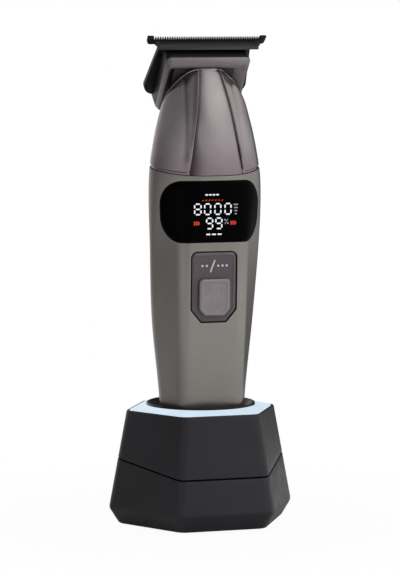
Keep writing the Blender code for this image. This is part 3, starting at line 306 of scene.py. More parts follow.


# A finish: two tones clouded together, hair lines, worn edges, smudged gloss and a fine bump; on the cutter the worn
# edges are a painted highlight, and some finishes add painted shade below a height and from a mask on the mesh
def makeFinish(name, look):
    material, tree, shader = newMaterial(name)
    look = {**plainLook, **look}
    grain = useGroup(tree, mouldGrain, {"Grain Scale": look["grain"], "Cloud Scale": look["cloud"]})
    marks = useGroup(tree, handMarks, {"Low": look["gloss"][0], "High": look["gloss"][1]})
    rubAndSheenMask = useGroup(tree, edgeRubAndSheen, {"Amount": look["rub"], "Break Up": look["patch"]})
    colour = mixColour(tree, grain["Cloud"], srgb(*look["dark"]), srgb(*look["light"]))
    height = grain["Grain"]
    if "lines" in look:
        across, along, strength = look["lines"]
        height = useGroup(tree, satinLines, {"Across": across, "Along": along})["Lines"]
        colour = mixColour(tree, spread(tree, height, 0.35, 0.65, most=strength), colour, srgb(*look["light"]))
    if "fade" in look:  # another tone below a height, which paints shade: a shadow on the handle's foot, a darker and purpler bottom on the nose
        start, end, tone = look["fade"]
        place = addNode(tree, "ShaderNodeSeparateXYZ", {0: objectPlace(tree)})
        share = spread(tree, place.outputs["Z"], end, start, curve="SMOOTHSTEP")
        colour = mixColour(tree, share, colour, srgb(*tone))
    if "paintedShade" in look:  # painted shade where a mask on the mesh says: in the folds of the nose, and on the hood's legs, lip and left end
        shadeMask = addNode(tree, "ShaderNodeAttribute", attribute_name="paintedShade")
        colour = mixColour(tree, shadeMask.outputs["Fac"], colour, srgb(*look["paintedShade"]))
    colour = mixColour(tree, rubAndSheenMask["Rub"], colour, srgb(*look.get("bareAndSheen", look["light"])))
    bump = addNode(tree, "ShaderNodeBump", {"Strength": look["bump"], "Distance": bumpDistance, "Height": height})
    setInputs(tree, shader, {"Base Color": colour, "Roughness": marks["Roughness"], "Normal": bump.outputs["Normal"],
                             "Metallic": look["metal"], "Specular IOR Level": look["shine"]})
    return material


litLook = {"cloud": 90.0, "dim": 0.97, "strength": 1.0, "gloss": 0.4, "shine": 0.2}


def makeGlow(name, colour, base):
    # lit plastic: a soft cloud keeps it from being quite even
    material, tree, shader = newMaterial(name)
    grain = useGroup(tree, mouldGrain, {"Cloud Scale": litLook["cloud"]})
    tone = mixColour(tree, grain["Cloud"], srgb(*[c * litLook["dim"] for c in colour]), srgb(*colour))
    setInputs(tree, shader, {"Emission Color": tone, "Emission Strength": litLook["strength"],
                             "Base Color": srgb(*base), "Roughness": litLook["gloss"],
                             "Specular IOR Level": litLook["shine"]})
    return material


# Camera, floor and light

view = {"azimuth": -17.5, "distance": 1.08, "height": 0.190, "aim": 0.0865, "aimSide": -0.00022, "focal": 189.5,
        "sensor": 36.0, "farEnd": 20.0}
white = (1.0, 1.0, 1.0, 1.0)
skyStrength = 0.62  # for what lights the set; the camera and mirrored rays see plain white
ground = {"tone": (0.82, 0.82, 0.82, 1.0), "gloss": 0.9, "keep": 0.96, "fade": (0.05, 0.16), "half": 6,
          "level": -0.0002}
keyLamp = {"centre": (0.55, -0.75, 0.75), "aim": (0.0, 0.0, 0.09), "size": (0.5, 0.5), "power": 3.2}


def lookAt(made, centre, aim):
    made.location = centre
    made.rotation_euler = (Vector(aim) - Vector(centre)).to_track_quat("-Z", "Y").to_euler()


def makeCamera():
    turn = radians(view["azimuth"])
    eye = Vector((view["distance"] * sin(turn), -view["distance"] * cos(turn), view["height"]))
    aim = Vector((view["aimSide"] * cos(turn), view["aimSide"] * sin(turn), view["aim"]))
    data = bpy.data.cameras.new("photoCamera")
    data.sensor_fit = "VERTICAL"
    data.sensor_height = view["sensor"]
    data.lens = view["focal"]
    data.clip_end = view["farEnd"]
    scene.camera = addObject("photoCamera", data)
    lookAt(scene.camera, eye, aim)


def makeSky():
    world = bpy.data.worlds.new("whiteStudio")
    scene.world = world
    world.use_nodes = True
    tree = world.node_tree
    tree.nodes.clear()
    path = addNode(tree, "ShaderNodeLightPath")
    seen = mathNode(tree, "MAXIMUM", path.outputs["Is Camera Ray"], path.outputs["Is Glossy Ray"])
    seen = mathNode(tree, "MAXIMUM", seen, path.outputs["Is Transmission Ray"])
    strength = spread(tree, seen, 0.0, 1.0, skyStrength)
    sky = addNode(tree, "ShaderNodeBackground", {"Color": white, "Strength": strength})
    end = addNode(tree, "ShaderNodeOutputWorld")
    tree.links.new(sky.outputs["Background"], end.inputs["Surface"])


def makeFloor():
    material, tree, shader = newMaterial("whiteFloor")
    setInputs(tree, shader, {"Base Color": ground["tone"], "Roughness": ground["gloss"], "Specular IOR Level": 0.0})
    glow = addNode(tree, "ShaderNodeEmission", {"Color": white, "Strength": 1.0})
    path = addNode(tree, "ShaderNodeLightPath")
    away = addNode(tree, "ShaderNodeVectorMath", {0: objectPlace(tree)}, operation="LENGTH")
    fade = spread(tree, away.outputs["Value"], *ground["fade"], ground["keep"], curve="SMOOTHSTEP")
    keep = mathNode(tree, "MULTIPLY", path.outputs["Is Camera Ray"], fade)
    both = addNode(tree, "ShaderNodeMixShader", {0: keep, 1: shader.outputs[0], 2: glow.outputs[0]})
    tree.links.new(both.outputs[0], tree.nodes["Material Output"].inputs["Surface"])
    data = bpy.data.meshes.new("floor")
    half = ground["half"]
    data.from_pydata([(x, y, 0) for x, y in boxCorners(-half, -half, half, half)], [], [(0, 1, 2, 3)])
    data.materials.append(material)
    floor = addObject("floor", data)
    floor.location.z = ground["level"]


# A wall round the set, with an apron on the floor, that only reflections show. Their tones run round them by angle,
# shade on the left and light in front. Levels: height, share of the high tones, share of the foot's factors.
studio = {"radius": 0.3, "turn": 3,
          "levels": ((0.001, 0.0, 1.0), (0.02, 0.0, 1.0), (0.07, 0.0, 0.0), (0.12, 0.0, 0.0), (0.18, 0.3, 0.0),
                     (0.24, 0.75, 0.0), (0.3, 1.0, 0.0), (0.7, 1.0, 0.0)),
          "foot": ((-180, 1.0), (-130, 1.0), (-110, 1.25), (-70, 1.25), (-45, 1.1), (-20, 1.0), (0, 1.35), (60, 1.35),
                   (105, 1.1), (120, 1.0), (180, 1.0)),
          "apron": ((-180, 0.8), (-140, 0.8), (-110, 0.45), (-50, 0.45), (-20, 0.8), (0, 0.95), (180, 0.8)),
          "apronSpan": (0.07, 0.299), "apronLevel": 0.0003,
          "low": ((-180, 1.0), (-150, 1.0), (-125, 0.6), (-105, 0.3), (-85, 0.3), (-60, 0.65), (-40, 0.9), (-20, 0.8),
                  (0, 0.6), (10, 0.75), (24, 1.0), (60, 1.0), (100, 0.95), (115, 0.5), (130, 0.1), (162, 0.06),
                  (180, 0.5)),
          "high": ((-180, 0.5), (-150, 0.5), (-120, 0.32), (-90, 0.27), (-60, 0.28), (-30, 0.28), (-14, 0.32),
                   (-5, 0.55), (4, 0.9), (12, 1.0), (60, 1.0), (105, 1.0), (120, 0.6), (135, 0.12), (162, 0.1),
                   (180, 0.5))}


def makeStudioWall():
    turns = list(range(-180, 180, studio["turn"]))
    low, high, foot, apron = [np.interp(turns, *zip(*studio[name])) for name in ("low", "high", "foot", "apron")]
    rows = [(radius, studio["apronLevel"], apron) for radius in studio["apronSpan"]]
    for z, share, footShare in studio["levels"]:
        rows.append((studio["radius"], z, (low * (1 - share) + high * share) * (1 + (foot - 1) * footShare)))
    points, tones = [], []
    for radius, z, row in rows:
        points += [(radius * sin(radians(a)), -radius * cos(radians(a)), z) for a in turns]
        tones += list(row)
    data = bpy.data.meshes.new("studioWall")
    data.from_pydata(points, [], ringFaces(len(turns), len(rows)))
    setLayer(data, "tone", tones)
    material, tree, shader = newMaterial("studioWall")
    tree.nodes.remove(shader)
    tone = addNode(tree, "ShaderNodeAttribute", attribute_name="tone")
    glow = addNode(tree, "ShaderNodeEmission", {"Color": tone.outputs["Color"], "Strength": 1.0})
    tree.links.new(glow.outputs[0], tree.nodes["Material Output"].inputs["Surface"])
    data.materials.append(material)
    wall = addObject("studioWall", data)
    wall.visible_camera = False
    wall.visible_diffuse = False
    wall.visible_shadow = False
    wall.visible_transmission = False


def makeKeyLamp():
    data = bpy.data.lights.new("keyLamp", "AREA")
    data.shape = "RECTANGLE"
    data.size, data.size_y = keyLamp["size"]
    data.energy = keyLamp["power"]
    lookAt(addObject("keyLamp", data), keyLamp["centre"], keyLamp["aim"])


makeCamera()
makeSky()
makeFloor()
makeKeyLamp()
makeStudioWall()
print("camera, floor and light ready")


# Outlines and plain shapes

roundSides = 28
sharpRadius = 0.06  # what a square corner is rounded by
over = 1.0  # how far a cutting tool passes the surface


def roundedOutline(corners, radii, steps, inset=0.0, runs=1):
    # counter-clockwise outline with round corners, moved inwards by an inset
    count = len(corners)
    points = [Vector(corner) for corner in corners]

    def outwards(i):
        before = (points[i] - points[i - 1]).normalized()
        after = (points[(i + 1) % count] - points[i]).normalized()
        return Vector((before.y, -before.x)), Vector((after.y, -after.x))

    moved = []
    for i, point in enumerate(points):
        first, second = outwards(i)
        moved.append(point - (first + second) * inset / (1 + first.dot(second)))
    points = moved
    arcs = []
    for i, point in enumerate(points):
        first, second = outwards(i)
        radius = max(radii[i] - inset, sharpRadius)
        centre = point - (first + second) * radius / (1 + first.dot(second))
        start = atan2(first.y, first.x)
        sweep = atan2(first.x * second.y - first.y * second.x, first.dot(second))
        arcs.append([(centre.x + radius * cos(start + sweep * k / (steps - 1)),
                      centre.y + radius * sin(start + sweep * k / (steps - 1))) for k in range(steps)])
    outline = []
    for i, arc in enumerate(arcs):
        outline += arc
        end, start = Vector(arc[-1]), Vector(arcs[(i + 1) % count][0])
        outline += [tuple(end.lerp(start, k / runs)) for k in range(1, runs)]
    return outline


def slabPiece(name, outline, span, material=None):
    # an outline in x and z, carried through y
    return loftPiece(name, [[(x, y, z) for x, z in outline] for y in span], material)


def roundBar(name, centre, radius, low, high):
    outline = [(centre[0] + x, centre[1] + y) for x, y in circlePoints(radius, roundSides)]
    return loftPiece(name, [[(x, y, z) for x, y in outline] for z in (low, high)])


def boxPiece(name, low, high):
    outline = boxCorners(low[0], low[1], high[0], high[1])
    return loftPiece(name, [[(x, y, z) for x, y in outline] for z in (low[2], high[2])])


# Finishes

dockLook = {"dark": (23, 23, 27), "light": (31, 31, 36), "gloss": (0.38, 0.48), "shine": 0.3, "grain": 3800.0,
            "cloud": 30.0, "bump": 0.12, "rub": 0.25, "bareAndSheen": (62, 62, 66)}
linerLook = {"dark": (9, 8, 9), "light": (14, 13, 14), "gloss": (0.16, 0.24), "shine": 0.18, "bump": 0.03,
             "cloud": 60.0}
# the handle's tone below a height is a painted shadow on its foot, where it stands in the dock
gunmetalLook = {"dark": (125, 121, 117), "light": (135, 131, 127), "gloss": (0.27, 0.33), "metal": 0.85,
                "grain": 4200.0, "cloud": 28.0, "bump": 0.03, "rub": 0.3, "bareAndSheen": (150, 147, 142),
                "fade": (0.037, 0.0475, (84, 81, 78))}
# the nose's tone below a height is painted shade, darker and purpler towards its bottom; its last colour is the painted
# shade of the nose's folds and of the hood
noseLook = {"dark": (140, 130, 132), "light": (158, 151, 152), "gloss": (0.21, 0.28), "metal": 0.92, "cloud": 40.0,
            "lines": (2400.0, 50.0, 0.35), "bump": 0.03, "rub": 0.45, "bareAndSheen": (176, 170, 168),
            "fade": (0.124, 0.142, (128, 113, 121)), "paintedShade": (44, 37, 40)}
bladeLook = {"dark": (19, 19, 20), "light": (24, 24, 25), "gloss": (0.34, 0.44), "metal": 0.6, "shine": 0.2,
             "cloud": 120.0, "lines": (5200.0, 160.0, 0.5), "bump": 0.12, "rub": 0.14, "bareAndSheen": (120, 120, 124)}
lensLook = {"dark": (1, 1, 1), "light": (2, 2, 3), "gloss": (0.12, 0.18), "shine": 0.022, "bump": 0.0, "cloud": 60.0}
switchLook = {"dark": (80, 73, 78), "light": (90, 83, 87), "gloss": (0.36, 0.44), "metal": 0.55, "grain": 4800.0,
              "bump": 0.1, "rub": 0.35, "bareAndSheen": (128, 120, 124)}
thumbLook = {"dark": (122, 115, 117), "light": (136, 129, 131), "gloss": (0.34, 0.42), "metal": 0.7, "grain": 4800.0,
             "bump": 0.1, "rub": 0.4, "bareAndSheen": (160, 152, 154)}
rubberLook = {"dark": (22, 22, 23), "light": (32, 32, 33), "gloss": (0.78, 0.9), "shine": 0.25, "grain": 5200.0,
              "bump": 0.25}
steelLook = {"dark": (158, 158, 161), "light": (182, 182, 184), "gloss": (0.24, 0.34), "metal": 1.0,
             "lines": (3000.0, 300.0, 0.5), "bump": 0.08, "rub": 0.3, "bareAndSheen": (205, 205, 207)}
goldLook = {"dark": (196, 158, 84), "light": (220, 186, 108), "gloss": (0.2, 0.3), "metal": 1.0, "bump": 0.03,
            "cloud": 300.0}
boardLook = {"dark": (26, 66, 42), "light": (36, 82, 54), "gloss": (0.4, 0.55), "grain": 1500.0, "bump": 0.08,
             "cloud": 120.0}
innerLook = {"dark": (46, 46, 49), "light": (56, 56, 59), "gloss": (0.5, 0.62), "grain": 4000.0, "bump": 0.12,
             "rub": 0.2}
# the hood's dark plastic; it also paints shade in the gaps round the lens and the switch plate, and on the hood's
# floor, left pocket wall and rim line
hoodLook = {"dark": (12, 12, 13), "light": (19, 19, 20), "gloss": (0.36, 0.46), "shine": 0.3, "grain": 4200.0,
            "bump": 0.1, "rub": 0.3, "bareAndSheen": (60, 58, 59)}
# painted light: a lighter, less metallic copy of the hood's metal for its right pocket wall
hoodLitWallLook = {"dark": (144, 135, 136), "light": (158, 150, 151), "gloss": (0.5, 0.6), "metal": 0.2, "grain": 4200.0,
                 "bump": 0.1}
# on the cutter the worn-edge colour and amount paint a highlight on the wedge, lighter towards its heel
cutterLook = {**bladeLook, "lines": (5200.0, 160.0, 0.3), "rub": 1.2, "patch": 1.0, "bareAndSheen": (84, 84, 86)}
cellLook = {"dark": (50, 84, 130), "light": (62, 98, 146), "gloss": (0.3, 0.42), "bump": 0.04, "cloud": 70.0}
markLook = {"dark": (196, 192, 190), "light": (214, 210, 208), "gloss": (0.45, 0.55), "bump": 0.05}

dockBlack = makeFinish("dockBlack", dockLook)
linerGloss = makeFinish("linerGloss", linerLook)
handleGunmetal = makeFinish("handleGunmetal", gunmetalLook)
noseMetal = makeFinish("noseMetal", noseLook)
bladeBlack = makeFinish("bladeBlack", bladeLook)
lensBlack = makeFinish("lensBlack", lensLook)
switchDark = makeFinish("switchDark", switchLook)
thumbMetal = makeFinish("thumbMetal", thumbLook)
footRubber = makeFinish("footRubber", rubberLook)
plainSteel = makeFinish("plainSteel", steelLook)
contactGold = makeFinish("contactGold", goldLook)
boardGreen = makeFinish("boardGreen", boardLook)
innerPlastic = makeFinish("innerPlastic", innerLook)
cellWrap = makeFinish("cellWrap", cellLook)
darkPlasticAndShade = makeFinish("darkPlasticAndShade", hoodLook)
hoodLitWall = makeFinish("hoodLitWall", hoodLitWallLook)
cutterSteel = makeFinish("cutterSteel", cutterLook)
ringLight = makeGlow("ringLight", (212, 229, 243), (40, 44, 48))
digitLight = makeGlow("digitLight", (246, 250, 255), (20, 20, 20))
dimLight = makeGlow("dimLight", (150, 152, 156), (20, 20, 20))
redLight = makeGlow("redLight", (216, 58, 32), (20, 4, 2))
markPrint = makeFinish("markPrint", markLook)
print("finishes ready")


# Dock: a hexagon with its corners on the X axis, cut by a slanting seam. Its profile is given as radius and level.

dock = {"bottom": (31.3, 1.0), "wide": (35.1, 6.9), "top": (28.4, 42.0), "edge": 2.5, "footRound": 0.9,
        "wideRound": 1.1, "rimRound": 0.55, "lipRound": 0.12, "wall": 2.0 / cos(pi / 6), "topPlate": 2.0,
        "seamLevel": 24.7, "seamSlope": tan(radians(9.9)), "seamGap": 0.56, "seamRound": 0.22,
        "plateRadius": 27.6, "plateTop": 3.1, "ledgeTop": 5.1, "ledgeRadius": 19.0,
        "screwX": 20.0, "screwHole": 1.5, "screwSpan": (2.0, 7.0),
        "inletHalf": 4.5, "inletLow": 11.5, "inletHigh": 14.8, "inletSpan": (21.0, 50.0), "inletFlat": 0.01,
        "lowerRows": (0.12, 0.88, 6), "upperRows": (0.12, 0.9, 7)}
ring = {"radius": 27.3, "seat": 40.3, "inner": 20.0, "thick": 1.6, "rise": 1.35, "round": 0.35,
        "innerEdge": ((0.3, 0.0), (0.08, 0.08), (0.0, 0.3))}
hexGap = gap / cos(pi / 6)  # air at a flat, measured at a corner
mostTrim = 0.48  # of a side, at each of its ends
closingSteps = 12  # rounds of closing in on a slanting seam


def softCorners(points, length, steps, runs):
    # corners become curves that start a set length before the corner
    outline = []
    count = len(points)
    trims = []
    for i, point in enumerate(points):
        before = (points[i - 1] - point).length
        after = (points[(i + 1) % count] - point).length
        trims.append(min(length, mostTrim * before, mostTrim * after))
    for i, point in enumerate(points):
        following = points[(i + 1) % count]
        start = point + (points[i - 1] - point).normalized() * trims[i]
        end = point + (following - point).normalized() * trims[i]
        for k in range(steps):
            s = k / (steps - 1)
            outline.append(start * (1 - s) ** 2 + point * (2 * s * (1 - s)) + end * s ** 2)
        nextStart = following - (following - point).normalized() * trims[(i + 1) % count]
        outline += [end.lerp(nextStart, k / runs) for k in range(1, runs)]
    return outline


def hexOutline(radius):
    corners = [Vector(corner) for corner in circlePoints(radius, 6)]
    return np.array([tuple(p) for p in softCorners(corners, dock["edge"], 11, 8)])


smallHex, largeHex = 20.0, 30.0  # the outline grows evenly with its radius
hexRate = (hexOutline(largeHex) - hexOutline(smallHex)) / (largeHex - smallHex)
hexStart = hexOutline(smallHex) - hexRate * smallHex


def hexRing(radius, level):
    radii = np.broadcast_to(np.asarray(radius, float), len(hexRate))
    levels = np.broadcast_to(np.asarray(level, float), len(hexRate))
    flat = hexStart + hexRate * radii[:, None]
    return np.column_stack([flat, levels])


def circleRing(like, radius, level):
    flat = like[:, :2] / np.linalg.norm(like[:, :2], axis=1)[:, None] * radius
    return np.column_stack([flat, np.full(len(flat), level)])


def dockRadius(level):
    low, high = dock["wide"], dock["top"]
    return low[0] + (high[0] - low[0]) * (level - low[1]) / (high[1] - low[1])


def seamLevels(side, inset=0.0):
    # levels of the seam's lower (side -1) or upper (side 1) edge, found by closing in on them
    middle = dock["seamLevel"] + side * dock["seamGap"] / 2
    levels = np.full(len(hexRate), dock["seamLevel"])
    for k in range(closingSteps):
        levels = middle + dock["seamSlope"] * hexRing(dockRadius(levels) - inset, levels)[:, 1]
    return levels


def curveThrough(before, corner, after, length, steps):
    before, corner, after = np.array(before), np.array(corner), np.array(after)
    start = corner + (before - corner) / np.linalg.norm(before - corner) * length
    end = corner + (after - corner) / np.linalg.norm(after - corner) * length
    return [start * (1 - s) ** 2 + corner * (2 * s * (1 - s)) + end * s ** 2 for s in np.linspace(0, 1, steps)]


def wallRings(first, last, shares):
    # rings up the outer wall, at shares of the way between two rows of levels
    rows = [first + (last - first) * share for share in shares]
    return [hexRing(dockRadius(levels), levels) for levels in rows]


def seamEdge(side):
    # rounded edge along the seam, from the bottom up
    seam, radius = seamLevels(side), dock["seamRound"]
    rings = []
    for turn in np.linspace(0.0, pi / 2, 5)[::-side]:
        levels = seam + side * radius * (1 - sin(turn))
        rings.append(hexRing(dockRadius(levels) - radius * (1 - cos(turn)), levels))
    return rings


def buildDockLower():
    bottom, wide, wall = dock["bottom"], dock["wide"], dock["wall"]
    rows = curveThrough((dock["plateRadius"], bottom[1]), bottom, wide, dock["footRound"], 5)
    rows += curveThrough(bottom, wide, dock["top"], dock["wideRound"], 9)
    rings = [hexRing(r, z) for r, z in rows]
    edge = seamEdge(-1)
    rings += wallRings(rings[-1][:, 2], edge[0][:, 2], np.linspace(*dock["lowerRows"])) + edge
    inner = seamLevels(-1, wall)
    rings.append(hexRing(dockRadius(inner) - wall, inner))
    share = (dock["ledgeTop"] - bottom[1]) / (wide[1] - bottom[1])
    ledgeOuter = bottom[0] + (wide[0] - bottom[0]) * share
    recess = dock["plateRadius"] + hexGap
    inside = ((wide[0] - wall, wide[1]), (ledgeOuter - wall, dock["ledgeTop"]), (dock["ledgeRadius"], dock["ledgeTop"]),
              (dock["ledgeRadius"], dock["plateTop"]), (recess, dock["plateTop"]), (recess, bottom[1]))
    rings += [hexRing(r, z) for r, z in inside]
    shell = loftPiece("dockLowerShell", rings, dockBlack, loop=True)
    half, low, high = dock["inletHalf"] + gap, dock["inletLow"] - gap, dock["inletHigh"] + gap
    mouth = roundedOutline(boxCorners(-half, low, half, high), [(high - low) / 2 - dock["inletFlat"]] * 4, 8)
    cutWith(shell, slabPiece("inletMouth", mouth, dock["inletSpan"]))
    for side in (-1, 1):
        cutWith(shell, roundBar("screwHole", (side * dock["screwX"], 0.0), dock["screwHole"], *dock["screwSpan"]))
    shadeEdges(shell, 30)
    settle(shell, "dock", "dock_black", "dock_lower_shell")


def buildDockUpper():
    top, wall = dock["top"], dock["wall"]
    rings = seamEdge(1)
    edge = curveThrough(dock["wide"], top, (ring["radius"], top[1]), dock["rimRound"], 6)
    rings += wallRings(rings[-1][:, 2], edge[0][1], np.linspace(*dock["upperRows"]))
    rings += [hexRing(r, z) for r, z in edge]
    lip, hole = ring["radius"] + hexGap, ring["inner"] + 2 * gap
    seat, under = hexRing(lip, ring["seat"]), ring["seat"] - dock["topPlate"]
    inner = seamLevels(1, wall)
    rings += [hexRing(lip + dock["lipRound"], top[1]), hexRing(lip, top[1] - dock["lipRound"]),
              seat, circleRing(seat, hole, ring["seat"]), circleRing(seat, hole, under),
              hexRing(dockRadius(under) - wall, under), hexRing(dockRadius(inner) - wall, inner)]
    shell = loftPiece("dockUpperShell", rings, dockBlack, loop=True)
    settle(shell, "dock", "dock_black", "dock_upper_shell")


def buildLightRing():
    low, step = ring["seat"] + gap, ring["round"]
    top = low + ring["thick"]
    rise = top + ring["rise"]
    outer = hexRing(ring["radius"], low)
    rings = [outer, hexRing(ring["radius"], top - step)]
    for turn in np.linspace(pi / 8, pi / 2, 4):
        rings.append(hexRing(ring["radius"] - step * (1 - cos(turn)), top - step * (1 - sin(turn))))
    base, crown = hexRing(ring["radius"] - step, top), circleRing(outer, ring["inner"], rise)
    rings += [base + (crown - base) * share for share in (0.25, 0.5, 0.75)]
    rings += [circleRing(outer, ring["inner"] + back, rise - down) for back, down in ring["innerEdge"]]
    rings.append(circleRing(outer, ring["inner"], low + ring["rise"]))
    piece = loftPiece("lightRing", rings, ringLight, loop=True)
    piece.visible_diffuse = False  # a soft glow: it lights nothing round it
    piece.visible_glossy = False
    settle(piece, "dock", "ring_white", "light_ring")


# Handle skin. Rows: height, half width, front, side line, back, front and back facet half widths, softness.

stations = (
    (0.0, 15.7, -12.6, -1.0, 9.0, 11.2, 8.0, 3.2),
    (22.0, 16.9, -13.4, -1.0, 9.2, 11.4, 8.2, 3.2),
    (50.0, 19.9, -15.3, -1.5, 9.6, 11.7, 9.0, 3.2),
    (78.0, 21.5, -16.4, -4.6, 9.6, 11.7, 9.2, 3.2),
    (100.0, 23.6, -16.9, -5.0, 9.6, 11.2, 9.0, 8.0),
    (112.0, 22.3, -17.4, -3.6, 8.9, 10.0, 8.2, 9.0),
    (122.0, 19.7, -16.5, -2.9, 7.4, 8.4, 7.0, 9.0),
    (130.0, 16.9, -14.2, -3.2, 5.8, 6.8, 5.5, 9.0),
    (138.0, 10.7, -10.8, -3.9, 3.4, 4.4, 3.6, 9.0),
    (142.0, 6.3, -9.4, -3.9, 1.5, 2.8, 2.0, 9.0),
)
frontColumn, softColumn = 2, 7
seatLevel = 25.0  # underside of the handle above the floor


def stationAt(height, column):
    rows = stations
    height = min(max(height, rows[0][0]), rows[-1][0])
    index = max(i for i, row in enumerate(rows[:-1]) if row[0] <= height)
    low, high = rows[index], rows[index + 1]
    before, after = rows[max(index - 1, 0)], rows[min(index + 2, len(rows) - 1)]
    span = high[0] - low[0]
    s = (height - low[0]) / span
    leave = (high[column] - before[column]) / (high[0] - before[0]) * span
    arrive = (after[column] - low[column]) / (after[0] - low[0]) * span
    blend = 2 * s ** 3 - 3 * s ** 2
    curve = low[column] * (1 + blend) - high[column] * blend
    return curve + leave * (s ** 3 - 2 * s ** 2 + s) + arrive * (s ** 3 - s ** 2)


def sectionOutline(height, steps, runs):
    half, front, side, back, frontHalf, backHalf = [stationAt(height, column) for column in range(1, softColumn)]
    corners = [Vector((-frontHalf, front)), Vector((frontHalf, front)), Vector((half, side)),
               Vector((backHalf, back)), Vector((-backHalf, back)), Vector((-half, side))]
    return np.array([tuple(p) for p in softCorners(corners, stationAt(height, softColumn), steps, runs)])


def outlineNormals(outline):
    along = np.roll(outline, -1, 0) - np.roll(outline, 1, 0)
    along /= np.linalg.norm(along, axis=1)[:, None]
    return np.column_stack([along[:, 1], -along[:, 0]])


def skinTable(steps, runs):
    outlines = [sectionOutline(height, steps, runs) for height in tableHeights]
    return np.array(outlines), np.array([outlineNormals(outline) for outline in outlines])


tableLow, tableHigh, tableStep = -1.0, 142.51, 0.5
tableHeights = np.arange(tableLow, tableHigh, tableStep)
lastPlace = len(tableHeights) - 1.001
columnTable, columnNormals = skinTable(15, 10)
fineOutlines, fineNormals = skinTable(33, 24)
halfColumns = slice(44, 213)  # from the middle of the front round +X to the middle of the back
halfPoints, halfNormals = fineOutlines[:, halfColumns], fineNormals[:, halfColumns]
halfArcs = np.concatenate([np.zeros((len(halfPoints), 1)),
                           np.cumsum(np.linalg.norm(np.diff(halfPoints, axis=1), axis=2), axis=1)], axis=1)


def tablePlace(height):
    place = min(max((height - tableLow) / tableStep, 0.0), lastPlace)
    return int(place), place - int(place)


# Point of the skin an arc length away from the middle of the front, moved out by an offset
def skinPoint(arc, height, offset=0.0):
    low, share = tablePlace(height)
    found = []
    for row in (low, low + 1):
        arcs = halfArcs[row]
        place = [np.interp(abs(arc), arcs, halfPoints[row][:, k]) for k in (0, 1)]
        normal = [np.interp(abs(arc), arcs, halfNormals[row][:, k]) for k in (0, 1)]
        found.append((place[0] + normal[0] * offset, place[1] + normal[1] * offset))
    x = found[0][0] * (1 - share) + found[1][0] * share
    y = found[0][1] * (1 - share) + found[1][1] * share
    return (x if arc >= 0 else -x, y, height + seatLevel)


def arcAt(x, height):
    row = tablePlace(height)[0]
    reach = int(np.argmax(halfPoints[row][:, 0]))
    return float(np.interp(x, halfPoints[row][:reach, 0], halfArcs[row][:reach]))


# Ring of the skin with a height of its own for each column
def skinRing(heights, offset=0.0):
    count = columnTable.shape[1]
    heights = np.broadcast_to(np.asarray(heights, float), count)
    offsets = np.broadcast_to(np.asarray(offset, float), count)
    place = np.clip((heights - tableLow) / tableStep, 0.0, lastPlace)
    low = place.astype(int)
    share = (place - low)[:, None]
    columns = np.arange(count)
    flat = columnTable[low, columns] * (1 - share) + columnTable[low + 1, columns] * share
    normal = columnNormals[low, columns] * (1 - share) + columnNormals[low + 1, columns] * share
    return np.column_stack([flat + normal * offsets[:, None], heights + seatLevel])


spineWeld = 0.004
openShare = 0.9  # how far an open pad closes in on its spine


# Solid that follows the skin inside an outline; layers are (inset, offset) from its edge to its middle
def skinPad(name, outline, spine, layers, material, closeSpine=False, fills=6):
    def toSpine(points, share):
        return [(s + (min(max(s, -spine[0]), spine[0]) - s) * share, h + (spine[1] - h) * share) for s, h in points]

    shares = np.linspace(0.0, 1.0 if closeSpine else openShare, fills + 1)
    edge, crown = outline(layers[0][0]), outline(layers[-1][0])
    rings = [[skinPoint(s, h, layers[0][1]) for s, h in toSpine(edge, share)] for share in reversed(shares)]
    for inset, offset in layers:
        rings.append([skinPoint(s, h, offset) for s, h in outline(inset)])
    rings += [[skinPoint(s, h, layers[-1][1]) for s, h in toSpine(crown, share)] for share in shares[1:]]
    count = len(edge)
    faces = ringFaces(count, len(rings))
    if not closeSpine:
        last = (len(rings) - 1) * count
        faces += [tuple(reversed(range(count))), tuple(range(last, last + count))]
    points = [p for row in rings for p in row]
    return makePiece(name, points, faces, material, 50, spineWeld if closeSpine else 0.0)


lens = {"half": 18.1, "low": 78.4, "high": 100.0, "corner": 8.6, "thick": 1.6, "proud": 0.8, "arcLevel": 89.0,
        "spine": (10.0, 89.2),
        "edge": ((0.0, -0.8), (0.0, -0.1), (0.03, 0.12), (0.14, 0.31), (0.32, 0.46), (0.6, 0.59), (1.0, 0.69),
                 (1.5, 0.76), (2.2, 0.8))}
plate = {"seatGap": 0.5, "half": 8.2, "low": 49.8, "high": 74.6, "cut": (3.65, 4.38), "thick": 0.8,
         "radii": (0.9, 0.9, 0.9, 1.9, 1.9, 0.9), "spine": (2.0, 63.0),
         "edge": ((0.0, -0.8), (0.0, -0.28), (0.07, -0.16), (0.2, -0.08), (0.85, 0.1), (0.95, 0.12), (1.1, 0.12),
                  (1.2, 0.09), (1.32, 0.0), (1.5, -0.01))}
thumb = {"half": 5.8, "low": 51.8, "high": 65.3, "cut": (2.1, 2.5), "radii": (1.6, 1.6, 2.2, 1.5, 1.5, 2.2),
         "spine": (1.5, 58.5),
         "edge": ((0.0, 0.3), (0.03, 0.95), (0.12, 1.16), (0.3, 1.34), (0.55, 1.46), (0.85, 1.52), (1.15, 1.52),
                  (1.4, 1.48), (1.7, 1.42), (2.0, 1.38)),
         "stemHalf": 1.3, "stemLow": 56.8, "stemHigh": 59.8, "stemBack": -13.2, "stemProud": 0.8, "travel": 5.0,
         "slotSpan": (-40.0, -10.9)}
lensArc = arcAt(lens["half"], lens["arcLevel"])
lensSpine = (lensArc - lens["spine"][0], lens["spine"][1])


def lensOutline(inset):
    corners = boxCorners(-lensArc, lens["low"], lensArc, lens["high"])
    return roundedOutline(corners, [lens["corner"]] * 4, 11, inset, 30)


